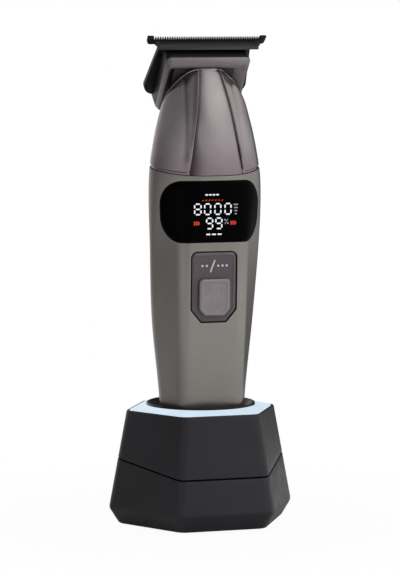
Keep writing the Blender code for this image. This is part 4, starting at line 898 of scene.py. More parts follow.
def cutOutline(look, inset):
    half, low, high = look["half"], look["low"], look["high"]
    across, up = look["cut"]
    right = [(half - across, low), (half, low + up), (half, high)]
    corners = [(-half + across, low)] + right + [(-half, high), (-half, low + up)]
    return roundedOutline(corners, look["radii"], 7, inset, 6)


def plateOutline(inset):
    return cutOutline(plate, inset)


def thumbOutline(inset):
    return cutOutline(thumb, inset)


def seatLayers(edgeGap, floor):
    # tool for a seat in the skin: straight walls up to a lid well clear of it
    lidInset, lidHeight = 2.0, 3.0
    return [(-edgeGap, floor), (-edgeGap, lidHeight), (lidInset, lidHeight)]


def stemSlot():
    half = thumb["stemHalf"] + gap
    low, high = thumb["stemLow"] - gap, thumb["stemHigh"] + thumb["travel"] + gap
    front, back = thumb["slotSpan"]
    return boxPiece("stemSlot", (-half, front, low + seatLevel), (half, back, high + seatLevel))


sleeve = {"bottom": 2.3, "wall": 2.0, "seamFront": 101.9, "seamSlope": 0.21, "seamGap": 0.16, "seamRound": 0.14,
          "footRound": 0.35, "rows": 48}


def seamBase(side):
    # where the plane of the seam's lower (side -1) or upper (side 1) edge would cross the handle's own axis
    front = sleeve["seamFront"]
    return front - sleeve["seamSlope"] * stationAt(front, frontColumn) + side * sleeve["seamGap"] / 2


def seamHeights(offset=0.0):
    heights = np.full(columnTable.shape[1], sleeve["seamFront"])
    for k in range(closingSteps):
        heights = seamBase(-1) + sleeve["seamSlope"] * skinRing(heights, offset)[:, 1]
    return heights


def buildSleeve():
    top, inner = seamHeights(), seamHeights(-sleeve["wall"])
    low, foot, rim = sleeve["bottom"], sleeve["footRound"], sleeve["seamRound"]
    turns = np.linspace(0.0, pi / 2, 5)
    rings = [skinRing(low + foot * (1 - cos(t)), -foot * (1 - sin(t))) for t in turns]
    for share in np.linspace(0.0, 1.0, sleeve["rows"] + 1)[1:-1]:
        rings.append(skinRing(low + foot + (top - rim - low - foot) * share))
    rings += [skinRing(top - rim * (1 - sin(t)), -rim * (1 - cos(t))) for t in turns]
    rings += [skinRing(low + (inner - low) * share, -sleeve["wall"]) for share in np.linspace(1.0, 0.0, 9)]
    piece = loftPiece("bodySleeve", rings, handleGunmetal, loop=True)
    # the seat tools leave the dark hood finish on the seat walls: painted shade in the gaps round the lens and the
    # switch plate
    seat = seatLayers(gap, lens["proud"] - lens["thick"] - gap)
    cutWith(piece, skinPad("lensSeat", lensOutline, lensSpine, seat, darkPlasticAndShade, closeSpine=True))
    seat = seatLayers(plate["seatGap"], -plate["thick"] - gap)
    cutWith(piece, skinPad("plateSeat", plateOutline, plate["spine"], seat, darkPlasticAndShade))
    cutWith(piece, stemSlot())
    shadeEdges(piece, 30)
    settle(piece, "trimmer", "handle_gunmetal", "body_sleeve")


def buildLens():
    piece = skinPad("displayLens", lensOutline, lensSpine, lens["edge"], lensBlack, closeSpine=True, fills=8)
    settle(piece, "trimmer", "lens_black", "display_lens")


def buildSwitch():
    piece = skinPad("switchPlate", plateOutline, plate["spine"], plate["edge"], switchDark)
    cutWith(piece, stemSlot())
    shadeEdges(piece, 20)
    settle(piece, "trimmer", "switch_dark", "switch_plate")
    pad = skinPad("switchThumb", thumbOutline, thumb["spine"], thumb["edge"], thumbMetal)
    half, low = thumb["stemHalf"], thumb["stemLow"]
    stem = boxPiece("stem", (-half, skinPoint(0.0, low)[1] - thumb["stemProud"], low + seatLevel),
                    (half, thumb["stemBack"], thumb["stemHigh"] + seatLevel))
    cutWith(pad, stem, "UNION")
    shadeEdges(pad, 35)
    return pad


# Nose cone: a raised panel on each side of a sunken middle band, cut off by the plane of the hood

headTilt = radians(40.0)
headY, headZ = -8.7, 176.6
headMatrix = Matrix.Translation((0.0, headY * mm, headZ * mm)) @ Matrix.Rotation(headTilt, 4, "X")


def headPoint(x, y, z):
    # head frame: z runs along the blade to the tips, y runs through the blade to the back
    return (x, headY + cos(headTilt) * y - sin(headTilt) * z, headZ + sin(headTilt) * y + cos(headTilt) * z)


def toHead(point):
    y, z = point[1] - headY, point[2] - headZ
    return (point[0], cos(headTilt) * y + sin(headTilt) * z, cos(headTilt) * z - sin(headTilt) * y)


nose = {"bandRight": (11.5, 0.2), "bandLeft": (9.0, 0.152), "bandLevel": 102.0, "bandLeast": 1.6, "bandMost": 0.7,
        "bandDepth": 0.4, "stepWidth": 0.45, "panelNear": 9.0, "panelShare": 0.55, "edgeLift": 0.05,
        "slotDepth": (0.6, 0.12), "slotWidth": (0.85, 0.3), "slotCurve": 0.7, "slotReach": 1.2, "slotWall": 0.85,
        "valleyLow": (104.0, 1.3), "valleyHigh": (136.0, 5.2), "valleyDepth": 0.55, "valleyWidth": 0.75,
        "valleyStart": (103.5, 110.0), "panelDrop": 0.5, "panelRise": 0.9, "cornerRise": 0.7, "cornerReach": 1.6,
        "dropRound": 0.25, "seamRound": 0.14, "cutPlane": -8.6, "archRise": 1.7, "archHalf": 14.5,
        "topRange": (112.0, 142.0), "topSteps": 22, "seamSteps": 8, "wall": 2.0, "innerSink": 0.6, "holeHalf": 5.9,
        "holeMiddle": -19.4, "rows": 44,
        "nearSeam": (0.4, 0.55, 0.7, 0.85, 1.0, 1.15, 1.3, 1.5, 1.7, 1.9, 2.1, 2.4),
        "lip": ((2.6, 0.0), (1.5, -0.04), (1.05, -0.16), (0.85, -0.22), (0.7, -0.14), (0.55, 0.0), (0.35, 0.06),
                (0.15, 0.0), (0.0, -0.16))}
# Painted shade in the folds of the nose: strength, width, and the heights over which it comes in
noseShadeFolds = {"rightStep": (0.75, 0.7, (104.0, 110.0)), "valley": (0.5, 0.8, (105.0, 109.0)),
             "streak": (0.4, 0.5, (108.0, 115.0)), "streakAway": 1.1, "panelStart": 0.2,
             "band": 0.85, "bandWidth": (3.4, 0.6), "bandLevels": (103.0, 119.0),
             "bandFade": 0.4, "fadeLevels": (108.0, 130.0)}
bandShares = [0.0, 0.2, 0.4, 0.58, 0.74, 0.87, 0.95, 1.0]
slotShares = [1.0, 0.85, 0.5, 0.15, 0.0]
stepShares = [0.16, 0.33, 0.5, 0.67, 0.84, 1.0]
nearColumns, farColumns = 18, 14
noseColumns = len(bandShares) + len(slotShares) + len(stepShares) + nearColumns + farColumns


def clamp(value):
    return min(max(value, 0.0), 1.0)


def smooth(low, high, value):
    t = clamp((value - low) / (high - low))
    return t * t * (3 - 2 * t)


def valleyShare(height):
    low, high = nose["valleyLow"][0], nose["valleyHigh"][0]
    return (height - low) / (high - low)


def valleyRun(height):
    # how far the valley lies from the edge of the panel
    low, high = nose["valleyLow"][1], nose["valleyHigh"][1]
    return low + (high - low) * valleyShare(height)


def noseSlot(height):
    # depth and width of the slot between band and panel, open at the seam and closing towards the blade
    share = clamp(valleyShare(height)) ** nose["slotCurve"]
    return [low + (high - low) * share for low, high in (nose["slotDepth"], nose["slotWidth"])]


def noseArcs(height, side):
    row = tablePlace(height)[0]
    total = halfArcs[row][-1]
    reach = halfPoints[row][:, 0].max()
    start, taper = nose["bandRight" if side > 0 else "bandLeft"]
    across = max(start - taper * (height - nose["bandLevel"]), nose["bandLeast"])
    band = arcAt(min(across, nose["bandMost"] * reach), height)
    wall = band + nose["stepWidth"]
    near = min(nose["panelNear"], nose["panelShare"] * (total - wall))
    slot = noseSlot(height)[1]
    arcs = [(band - nose["slotReach"] * slot) * t for t in bandShares] + [band - slot * t for t in slotShares]
    arcs += [band + nose["stepWidth"] * t for t in stepShares]
    arcs += [wall + near * (k + 1) / nearColumns for k in range(nearColumns)]
    arcs += [wall + near + (total - wall - near) * (k + 1) / farColumns for k in range(farColumns)]
    return arcs, band


def noseOffset(arc, band, height, aboveSeam):
    # the panels stand over the band; a soft valley runs up beside each of them
    edge = band + nose["stepWidth"]
    panel = smooth(band, edge, arc)
    run = valleyRun(height)
    width = nose["valleyWidth"] * (1 + clamp(valleyShare(height)))
    beyond = (arc - edge) / run
    if beyond < 1.0:  # from the edge of the panel down into the valley
        valley = nose["valleyDepth"] * beyond - nose["edgeLift"] * (1 - beyond)
    else:
        valley = nose["valleyDepth"] * np.exp(-((arc - edge - run) / width) ** 2)
    valley *= smooth(*nose["valleyStart"], height)
    corner = max(0.0, 1.0 - (arc - edge) / nose["cornerReach"]) if arc > band else 1.0
    rise = nose["panelRise"] + nose["cornerRise"] * corner ** 2
    drop = nose["panelDrop"] * (1 - smooth(rise - nose["dropRound"], rise + nose["dropRound"], aboveSeam))
    depth, wide = noseSlot(height)
    slot = depth * smooth(-wide, -nose["slotWall"] * wide, arc - band)
    return -(nose["bandDepth"] + slot) * (1 - panel) - panel * (valley + drop)


def nosePoint(spot, height, seam, extra=0.0):
    column, side = spot
    arcs, band = noseArcs(height, side)
    offset = noseOffset(arcs[column], band, height, height - seam) if seam is not None else 0.0
    x, y, z = skinPoint(arcs[column], height, offset + extra)
    return (side * x, y, z)


def noseSeam(spot):
    height = sleeve["seamFront"]
    for k in range(nose["seamSteps"]):
        height = seamBase(1) + sleeve["seamSlope"] * nosePoint(spot, height, None)[1]
    return height


def noseTop(spot):
    low, high = nose["topRange"]
    for k in range(nose["topSteps"]):
        height = (low + high) / 2
        x, depth, z = toHead(nosePoint(spot, height, None))
        if depth > nose["cutPlane"] + nose["archRise"] * sin(pi * min(abs(x) / nose["archHalf"], 1.0)) ** 2:
            high = height
        else:
            low = height
    return low


def foldShade(kind, away, height):
    strength, width, levels = noseShadeFolds[kind]
    return strength * np.exp(-(away / width) ** 2) * smooth(*levels, height)


def paintedNoseShade(spot, height):
    # painted shade: a wide band of it on the band beside the left panel, narrow ones in the right step and in the
    # valley
    column, side = spot
    arcs, band = noseArcs(height, side)
    arc = arcs[column]
    if side > 0:
        return foldShade("rightStep", arc - band, height)
    if arc > band + noseShadeFolds["panelStart"]:
        beyond = arc - band - nose["stepWidth"]
        streak = foldShade("streak", max(beyond - noseShadeFolds["streakAway"], 0.0), height)
        return max(foldShade("valley", beyond - valleyRun(height), height), streak)
    wide, narrow = noseShadeFolds["bandWidth"]
    width = narrow + (wide - narrow) * (1 - smooth(*noseShadeFolds["bandLevels"], height))
    fade = 1 - noseShadeFolds["bandFade"] * smooth(*noseShadeFolds["fadeLevels"], height)
    return noseShadeFolds["band"] * np.exp(-(max(band - arc, 0.0) / width) ** 2) * fade


def holePoint(point, plane):
    x, y, z = toHead(point)
    reach = nose["holeHalf"] / max(abs(x), abs(z - nose["holeMiddle"]))
    return headPoint(x * reach, plane, nose["holeMiddle"] + (z - nose["holeMiddle"]) * reach)


def buildNose():
    columns = [(c, 1) for c in range(noseColumns)] + [(c, -1) for c in range(noseColumns - 2, 0, -1)]
    seam = {c: noseSeam(c) for c in columns}
    top = {c: noseTop(c) for c in columns}
    wall, rim, plane = nose["wall"], nose["seamRound"], nose["cutPlane"]
    rings = [[nosePoint(c, seam[c], seam[c], -wall) for c in columns]]
    for turn in np.linspace(pi / 2, 0.0, 4):
        lift, sink = rim * (1 - sin(turn)), rim * (1 - cos(turn))
        rings.append([nosePoint(c, seam[c] + lift, seam[c], -sink) for c in columns])
    rings += [[nosePoint(c, seam[c] + rise, seam[c]) for c in columns] for rise in nose["nearSeam"]]
    first = {c: seam[c] + nose["nearSeam"][-1] for c in columns}
    last = {c: top[c] - nose["lip"][0][0] for c in columns}
    for share in np.linspace(0.0, 1.0, nose["rows"])[1:-1]:
        rings.append([nosePoint(c, first[c] + (last[c] - first[c]) * share, seam[c]) for c in columns])
    for depth, lift in nose["lip"]:
        rings.append([nosePoint(c, top[c] - depth, seam[c], lift) for c in columns])
    outer = [nosePoint(c, top[c], None) for c in columns]
    mouth = [holePoint(point, plane) for point in outer]
    inner = [holePoint(point, plane - wall) for point in outer]
    shoulder = []
    for near, far in zip(map(toHead, inner), map(toHead, outer)):
        shoulder.append(headPoint((near[0] + far[0]) / 2, plane - wall, (near[2] + far[2]) / 2))
    rings += [mouth, inner, shoulder]
    rings.append([nosePoint(c, (seam[c] + top[c]) / 2, None, -wall - nose["innerSink"]) for c in columns])
    piece = loftPiece("noseCone", rings, noseMetal, loop=True, sharp=48)
    # painted shade in the folds, kept on the points of the mesh
    foldShades = [paintedNoseShade(c, point[2] - seatLevel) for row in rings for c, point in zip(columns, row)]
    setLayer(piece.data, "paintedShade", foldShades)
    settle(piece, "trimmer", "nose_metal", "nose_cone")


# Blade hood, a tray-shaped bracket whose open side looks at the nose

hood = {"half": 15.7, "low": -28.0, "high": -5.1, "front": -8.3, "seat": -0.3, "edgeTop": 2.1, "edgeSide": 1.2,
        "rim": 1.0, "edgeLeft": 0.85, "rimLeft": 0.5, "corner": 1.8, "frontCorner": 1.2, "pocketCorner": 1.6,
        "pocketDraft": 4.4, "floorBack": -1.9, "floorFront": -3.9, "bevel": 0.22, "split": -6.0, "innerLeft": -9.0,
        "faceBand": 0.3, "floorBand": 0.1, "flatFace": 0.99, "channelHalf": 9.6, "channelLow": -23.0,
        "slotHalf": 5.3, "slotMiddle": -17.5, "slotRise": 3.05,
        "screwX": 10.9, "screwZ": -21.0, "screwHole": 1.3, "screwSpan": (-6.2, 3.0), "screwSides": 24,
        "legDrop": 5.0, "legShade": 0.5, "lipDepth": 0.05, "lipShade": 0.55, "barShade": (0.5, 0.22)}


def hoodOutline(left, right, low, high, corner):
    return roundedOutline(boxCorners(-left, low, right, high), [sharpRadius, sharpRadius, corner, corner], 8)


def hoodShade(x, y, z):
    # painted shade: the legs, the front lip and the left end of the bar are darker than the rest
    if z < hood["high"] - hood["legDrop"]:
        return hood["legShade"]
    if y < hood["front"] + hood["lipDepth"]:
        return hood["lipShade"]
    left, right = hood["barShade"]
    return left + (right - left) * (x / hood["half"] + 1) / 2


def screwHole(side):
    outline = circlePoints(hood["screwHole"], hood["screwSides"])
    outline = [(side * hood["screwX"] + x, hood["screwZ"] + z) for x, z in outline]
    return slabPiece("screwHole", outline, hood["screwSpan"])


def intoHead(piece):
    piece.data.transform(headMatrix)
    return piece


def buildHood():
    front, low, half = hood["front"], hood["low"], hood["half"]
    full = hoodOutline(half, half, low, hood["high"], hood["corner"])
    left, right, high = half - hood["edgeLeft"], half - hood["edgeSide"], hood["high"] - hood["edgeTop"]
    narrow = hoodOutline(left, right, low, high, hood["frontCorner"])
    layers = ((front, narrow), (front + hood["edgeTop"], full), (hood["seat"], full))
    piece = loftPiece("bladeHood", [[(x, y, z) for x, z in outline] for y, outline in layers], noseMetal)
    left, right, high = left - hood["rimLeft"], right - hood["rim"], high - hood["rim"]
    layers = []
    for y, lean in ((front - over, 0.0), (front, 0.0), (hood["floorFront"], hood["pocketDraft"])):
        outline = hoodOutline(left - lean, right - lean, low - over, high, hood["pocketCorner"])
        layers.append([(x, y, z) for x, z in outline])
    cutWith(piece, loftPiece("pocket", layers))
    half = hood["channelHalf"]
    cutWith(piece, boxPiece("channel", (-half, hood["floorBack"], hood["channelLow"]), (half, over, over)))
    half, rise = hood["slotHalf"], hood["slotRise"]
    cutWith(piece, boxPiece("driveSlot", (-half, hood["floorFront"] - over, hood["slotMiddle"] - rise),
                            (half, hood["floorBack"] + over, hood["slotMiddle"] + rise)))
    for side in (-1, 1):
        cutWith(piece, screwHole(side))
    softEdges(piece, hood["bevel"], 3, 25)
    piece.data.materials.append(darkPlasticAndShade)  # the half towards the blade is dark plastic; the floor, the left pocket wall and a thin line along the rim take it as painted shade
    piece.data.materials.append(hoodLitWall)
    band = hood["faceBand"]
    for face in piece.data.polygons:
        x, y, z = [value / mm for value in face.center]
        outer = max(abs(x) - hood["half"], z - hood["high"]) > -band
        if (y > hood["split"] and outer) or y > hood["floorFront"] - hood["floorBand"]:
            face.material_index = 1
        # painted light and shade: the right pocket wall takes a lighter copy of the metal, the left one the dark finish
        elif -left < x < right and z < high + band and y > front + band:
            face.material_index = 2 if x > hood["innerLeft"] else 1
        elif y < front + band and abs(face.normal.y) < hood["flatFace"]:  # painted shade: a thin dark line along the rim
            face.material_index = 1
    # painted shade on the hood, kept on the points of the mesh
    setLayer(piece.data, "paintedShade", [hoodShade(*(value / mm for value in point.co)) for point in piece.data.vertices])
    intoHead(piece)
    settle(piece, "trimmer", "nose_metal", "blade_hood")


# Blades. Their tooth rows are made by one node tree from a single tooth. The hook's points are measured from the
# end of the blade, those of the root's curve from its first tooth; tooth rows start at the root.

blade = {"half": 22.2, "wide": 4.2, "slant": 0.3, "hookRadius": 1.1, "neck": 17.0, "neckEdge": 0.8, "heelHalf": 19.2,
         "length": 28.0, "heelRadius": 4.5, "thick": 1.8, "tipThick": 0.5, "teeth": 44, "pitch": 0.88,
         "toothBack": 0.8, "backRun": 5.2, "rootEdge": 19.54, "bevel": 0.12, "bevelHalf": 40.0,
         "hook": ((-0.06, -1.2), (0.0, -0.9), (-0.12, -0.6), (-0.4, -0.5)),
         "rootCurve": ((0.6, -0.52), (0.35, -0.62), (0.2, -0.9), (0.1, -1.6), (0.0, -2.9)),
         "tooth": ((0.24, -3.15), (0.21, -2.4), (0.19, -1.6), (0.15, -1.25), (0.07, -1.05))}
cutter = {"half": 19.7, "slant": 1.0, "tip": -1.95, "root": -2.55, "edge": -3.35, "heel": -4.7, "back": -0.3,
          "front": -1.6, "tipThick": 0.25, "wedgeThick": 3.7, "edgeFlat": 0.25, "heelEdge": (0.35, -0.22), "teeth": 41,
          "overlap": 0.2, "endInset": 0.1, "stemHalf": 8.0, "stemOverlap": 0.5, "length": 20.0, "bevel": 0.08,
          "litFaceDepth": 0.2, "litFaceEdge": 0.05,
          "tooth": ((0.2, -2.85, 0.03), (0.27, -2.7, 0.0), (0.3, -2.55, -0.01), (0.27, -2.3, -0.01),
                    (0.22, -2.07, 0.0), (0.14, -1.95, 0.0))}


def closeTree(tree, geometry, finish, result):
    real = addNode(tree, "GeometryNodeRealizeInstances", {"Geometry": geometry})
    dressed = addNode(tree, "GeometryNodeSetMaterial", {"Geometry": real.outputs["Geometry"], "Material": finish})
    tree.links.new(dressed.outputs["Geometry"], result["Geometry"])


def makeToothRow():
    tree, given, result = newGroup(
        "toothRow", "GeometryNodeTree",
        [("Body", "NodeSocketGeometry", None), ("Tooth", "NodeSocketObject", None), ("Count", "NodeSocketInt", 10),
         ("Pitch", "NodeSocketFloat", 0.001), ("Finish", "NodeSocketMaterial", None)],
        [("Geometry", "NodeSocketGeometry")])
    span = mathNode(tree, "MULTIPLY", mathNode(tree, "SUBTRACT", given["Count"], 1.0), given["Pitch"])
    first = addNode(tree, "ShaderNodeCombineXYZ", {"X": mathNode(tree, "MULTIPLY", span, -0.5)})
    step = addNode(tree, "ShaderNodeCombineXYZ", {"X": given["Pitch"]})
    line = addNode(tree, "GeometryNodeMeshLine",
                   {"Count": given["Count"], "Start Location": first.outputs[0], "Offset": step.outputs[0]})
    tooth = addNode(tree, "GeometryNodeObjectInfo", {"Object": given["Tooth"]})
    row = addNode(tree, "GeometryNodeInstanceOnPoints",
                  {"Points": line.outputs["Mesh"], "Instance": tooth.outputs["Geometry"]})
    both = addNode(tree, "GeometryNodeJoinGeometry")
    tree.links.new(row.outputs["Instances"], both.inputs["Geometry"])
    tree.links.new(given["Body"], both.inputs["Geometry"])
    closeTree(tree, both.outputs["Geometry"], given["Finish"], result)
    return tree


def applyTree(piece, tree, values):
    step = piece.modifiers.new(tree.name, "NODES")
    step.node_group = tree
    for item in tree.interface.items_tree:
        if item.item_type == "SOCKET" and item.in_out == "INPUT" and item.name in values:
            step[item.identifier] = values[item.name]
    bake(piece)


toothRow = makeToothRow()


def addTeeth(piece, name, rows, count, finish):
    # rows from the root to the tip: half width, front, back, level
    slim = blade["toothBack"]
    rings = [[(-w, front, z), (w, front, z), (w * slim, back, z), (-w * slim, back, z)] for w, front, back, z in rows]
    tooth = loftPiece(name, rings)
    applyTree(piece, toothRow, {"Tooth": tooth, "Count": count, "Pitch": blade["pitch"] * mm, "Finish": finish})
    bpy.data.objects.remove(tooth)


def buildFixedBlade():
    half, wide, neck, neckEdge = blade["half"], blade["wide"], blade["neck"], blade["neckEdge"]
    turns = [pi / 2 * k / 8 for k in range(9)]
    radius = blade["heelRadius"]
    right = [(blade["heelHalf"] - radius * (1 - sin(a)), -blade["length"] + radius * (1 - cos(a))) for a in turns]
    right += [(neck, -wide - neckEdge), (neck + neckEdge, -wide)]
    radius = blade["hookRadius"]
    end = (half - blade["slant"] - radius, -wide + radius)
    right += [(end[0] + radius * sin(a), end[1] - radius * cos(a)) for a in turns]
    right += [(half + x, z) for x, z in blade["hook"]] + [(blade["rootEdge"] + x, z) for x, z in blade["rootCurve"]]
    outline = right + [(-x, z) for x, z in reversed(right)]
    piece = slabPiece("fixedBlade", outline, (0.0, blade["thick"]), bladeBlack)
    run = blade["backRun"]
    slope = (blade["thick"] - blade["tipThick"]) / run
    outside = blade["thick"] + slope * over
    wedge = [(blade["tipThick"] - slope * over, over), (outside, -run - over), (outside, over)]
    span = (-blade["bevelHalf"], blade["bevelHalf"])
    cutWith(piece, loftPiece("backBevel", [[(x, y, z) for y, z in wedge] for x in span]))
    for side in (-1, 1):
        cutWith(piece, screwHole(side))
    softEdges(piece, blade["bevel"], 2, 30)
    rows = [(w, 0.0, blade["tipThick"] - slope * z, z) for w, z in blade["tooth"]]
    addTeeth(piece, "bladeTooth", rows, blade["teeth"], bladeBlack)
    shadeEdges(intoHead(piece), 30)
    settle(piece, "trimmer", "blade_black", "fixed_blade")


def wedgeShare(z):
    # 0 at the tips of the cutter, 1 at the thick edge of its wedge
    return (cutter["tip"] - z) / (cutter["tip"] - cutter["edge"])


def wedgeFace(z):
    return cutter["back"] - cutter["tipThick"] - (cutter["wedgeThick"] - cutter["tipThick"]) * wedgeShare(z)


def buildCutter():
    tip, root, edge, heel, back = cutter["tip"], cutter["root"], cutter["edge"], cutter["heel"], cutter["back"]
    flat, (heelBack, heelDown) = edge + cutter["edgeFlat"], cutter["heelEdge"]
    profile = [(back, root), (wedgeFace(root), root), (wedgeFace(flat), flat), (wedgeFace(edge), edge),
               (wedgeFace(edge) + heelBack, edge + heelDown), (cutter["front"], heel), (back, heel)]
    halves = [cutter["half"] - cutter["slant"] * wedgeShare(z) for y, z in profile]
    rings = [[(side * half, y, z) for half, (y, z) in zip(halves, profile)] for side in (-1, 1)]
    piece = loftPiece("movingCutter", rings, cutterSteel)
    half = cutter["stemHalf"]
    stem = boxPiece("stem", (-half, cutter["front"], -cutter["length"]), (half, back, heel + cutter["stemOverlap"]))
    cutWith(piece, stem, "UNION")
    inside = cutter["teeth"] * blade["pitch"] / 2 - cutter["overlap"]
    for side in (-1, 1):
        low, high = sorted((side * inside, side * (cutter["half"] - cutter["endInset"])))
        rings = [[(low, back, z), (high, back, z), (high, wedgeFace(z), z), (low, wedgeFace(z), z)]
                 for z in (root - cutter["overlap"], tip)]
        cutWith(piece, loftPiece("endTooth", rings), "UNION")
    softEdges(piece, cutter["bevel"], 2, 30)
    rows = [(w, wedgeFace(z) + sink, back, z) for w, z, sink in cutter["tooth"]]
    addTeeth(piece, "cutterTooth", rows, cutter["teeth"], cutterSteel)
    heelSheen = []
    for point in piece.data.vertices:  # painted highlight: the face of the wedge gets lighter towards its heel
        y, z = point.co.y / mm, point.co.z / mm
        rubAndSheenMask = y < wedgeFace(z) + cutter["litFaceDepth"] and z > edge - cutter["litFaceEdge"]
        heelSheen.append(max(0.0, wedgeShare(z)) if rubAndSheenMask else 0.0)
    shadeEdges(intoHead(piece), 30)
    setLayer(piece.data, "rub", heelSheen)
    settle(piece, "cutter", "blade_black", "moving_cutter")


# Small repeated shapes set on points, each with a turn and a size of its own

def makePointSet():
    tree, given, result = newGroup(
        "pointSet", "GeometryNodeTree",
        [("Points", "NodeSocketGeometry", None), ("Shape", "NodeSocketObject", None),
         ("Finish", "NodeSocketMaterial", None)],
        [("Geometry", "NodeSocketGeometry")])
    shape = addNode(tree, "GeometryNodeObjectInfo", {"Object": given["Shape"]})
    turn = addNode(tree, "GeometryNodeInputNamedAttribute", {"Name": "turn"}, data_type="FLOAT_VECTOR")
    size = addNode(tree, "GeometryNodeInputNamedAttribute", {"Name": "size"}, data_type="FLOAT_VECTOR")
    spin = addNode(tree, "FunctionNodeEulerToRotation", {0: turn.outputs["Attribute"]})
    made = addNode(tree, "GeometryNodeInstanceOnPoints",
                   {"Points": given["Points"], "Instance": shape.outputs["Geometry"], "Rotation": spin.outputs[0],
                    "Scale": size.outputs["Attribute"]})
    closeTree(tree, made.outputs["Instances"], given["Finish"], result)
    return tree


pointSet = makePointSet()


# places are (point, turn, size); the shape is one unit large
def scatter(name, shape, places, material, body, slotName):
    data = bpy.data.meshes.new(name)
    data.from_pydata([[c * mm for c in point] for point, turn, size in places], [], [])
    for label, index in (("turn", 1), ("size", 2)):
        layer = data.attributes.new(label, "FLOAT_VECTOR", "POINT")
        layer.data.foreach_set("vector", [c for place in places for c in place[index]])
    piece = addObject(name, data)
    applyTree(piece, pointSet, {"Shape": shape, "Finish": material})
    shadeEdges(piece, 30)
    settle(piece, body, slotName)


# Point of the front, the turn that lays a flat shape on it, spun in its own plane, and the shape's size
def frontPlace(x, height, offset, spin, size):
    low, high = [skinPoint(x, height + step, offset) for step in (-0.5, 0.5)]
    lean = atan2(high[1] - low[1], high[2] - low[2])
    turn = Matrix.Rotation(pi / 2 - lean, 4, "X") @ Matrix.Rotation(spin, 4, "Z")
    return skinPoint(x, height, offset), tuple(turn.to_euler()), size


def barTemplate(name):
    # lit bar with pointed ends, one unit long
    half, point = 0.5, 0.09
    left = [(-half, 0.0), (point - half, -half), (half - point, -half)]
    outline = left + [(-x, -y) for x, y in left]
    return loftPiece(name, [[(x, y, z) for x, y in outline] for z in (0.0, 1.0)])


def dotTemplate(name):
    steps = ((0.5, 0.0), (0.5, 0.5), (0.4, 1.0))
    return loftPiece(name, [[(x, y, z) for x, y in circlePoints(radius, 16)] for radius, z in steps])


def pyramidTemplate(name):
    steps = ((0.5, -0.4), (0.5, 0.0), (0.08, 1.0))
    return loftPiece(name, [[(x, y, z) for x, y in circlePoints(radius, 4)] for radius, z in steps], sharp=20)


# Lit marks of the display. Sizes are length and width.

display = {"lift": 0.83, "thick": 0.06, "bar": 0.5, "digitWide": 2.2, "digitTall": 3.75, "notch": 0.6,
           "upper": (("8", -6.5), ("0", -2.9), ("0", 0.9), ("0", 4.7)), "upperHeight": 90.2,
           "lower": (("9", -2.15), ("9", 1.3)), "lowerHeight": 85.1,
           "levelBars": (-3.3, -1.95, -0.6, 0.75), "levelHeight": 95.3, "levelSize": (1.05, 0.5),
           "footBars": (-2.6, -0.5, 1.6), "footHeight": 81.2, "footSize": (1.6, 0.5)}
percent = {"stroke": (4.1, 85.7), "size": (2.2, 0.22), "spin": radians(58),
           "dots": ((3.6, 86.3), (4.65, 85.1)), "dotSize": (0.62, 0.62)}
speedSteps = {"across": 7.55, "heights": (88.4, 89.5, 90.6, 91.7), "length": 0.8, "growth": 0.28, "width": 0.45}
ticks = {"start": -4.6, "pitch": 1.18, "count": 7, "height": 93.3, "arch": 0.1, "size": (0.8, 0.26),
         "spin": radians(24)}
chevrons = {"starts": (-7.7, 5.9), "pitch": 0.74, "count": 3, "height": 85.2, "half": 0.32, "size": (0.9, 0.44),
            "spin": radians(50)}
plateMarks = {"lift": -0.02, "dots": (-4.4, -2.76, 1.5, 3.1, 4.66), "dotHeight": 69.85, "dotSize": (0.85, 0.85, 0.07),
              "stroke": (-0.6, 69.75), "strokeSize": (5.1, 0.52, 0.07), "spin": radians(68.5)}
segmentPlaces = {"a": (0.0, 0.5, 0), "b": (0.5, 0.25, 1), "c": (0.5, -0.25, 1), "d": (0.0, -0.5, 0),
                 "e": (-0.5, -0.25, 1), "f": (-0.5, 0.25, 1), "g": (0.0, 0.0, 0)}
digitSegments = {"8": "abcdefg", "0": "abcdef", "9": "abcdfg"}


def litPlace(x, height, size, spin=0.0):
    return frontPlace(x, height, display["lift"], spin, (*size, display["thick"]))


def digitPlaces(digit, x, height):
    wide, tall = display["digitWide"], display["digitTall"]
    places = []
    for name in digitSegments[digit]:
        across, up, upright = segmentPlaces[name]
        length = (tall / 2 if upright else wide) - display["notch"]
        spin = pi / 2 if upright else 0.0
        places.append(litPlace(x + across * wide, height + up * tall, (length, display["bar"]), spin))
    return places


def redPlaces():
    places = []
    for k in range(ticks["count"]):
        height = ticks["height"] + ticks["arch"] * sin(pi * k / (ticks["count"] - 1))
        places.append(litPlace(ticks["start"] + ticks["pitch"] * k, height, ticks["size"], ticks["spin"]))
    for start in chevrons["starts"]:
        for k in range(chevrons["count"]):
            for side in (1, -1):
                places.append(litPlace(start + chevrons["pitch"] * k, chevrons["height"] + side * chevrons["half"],
                                       chevrons["size"], -side * chevrons["spin"]))
    return places


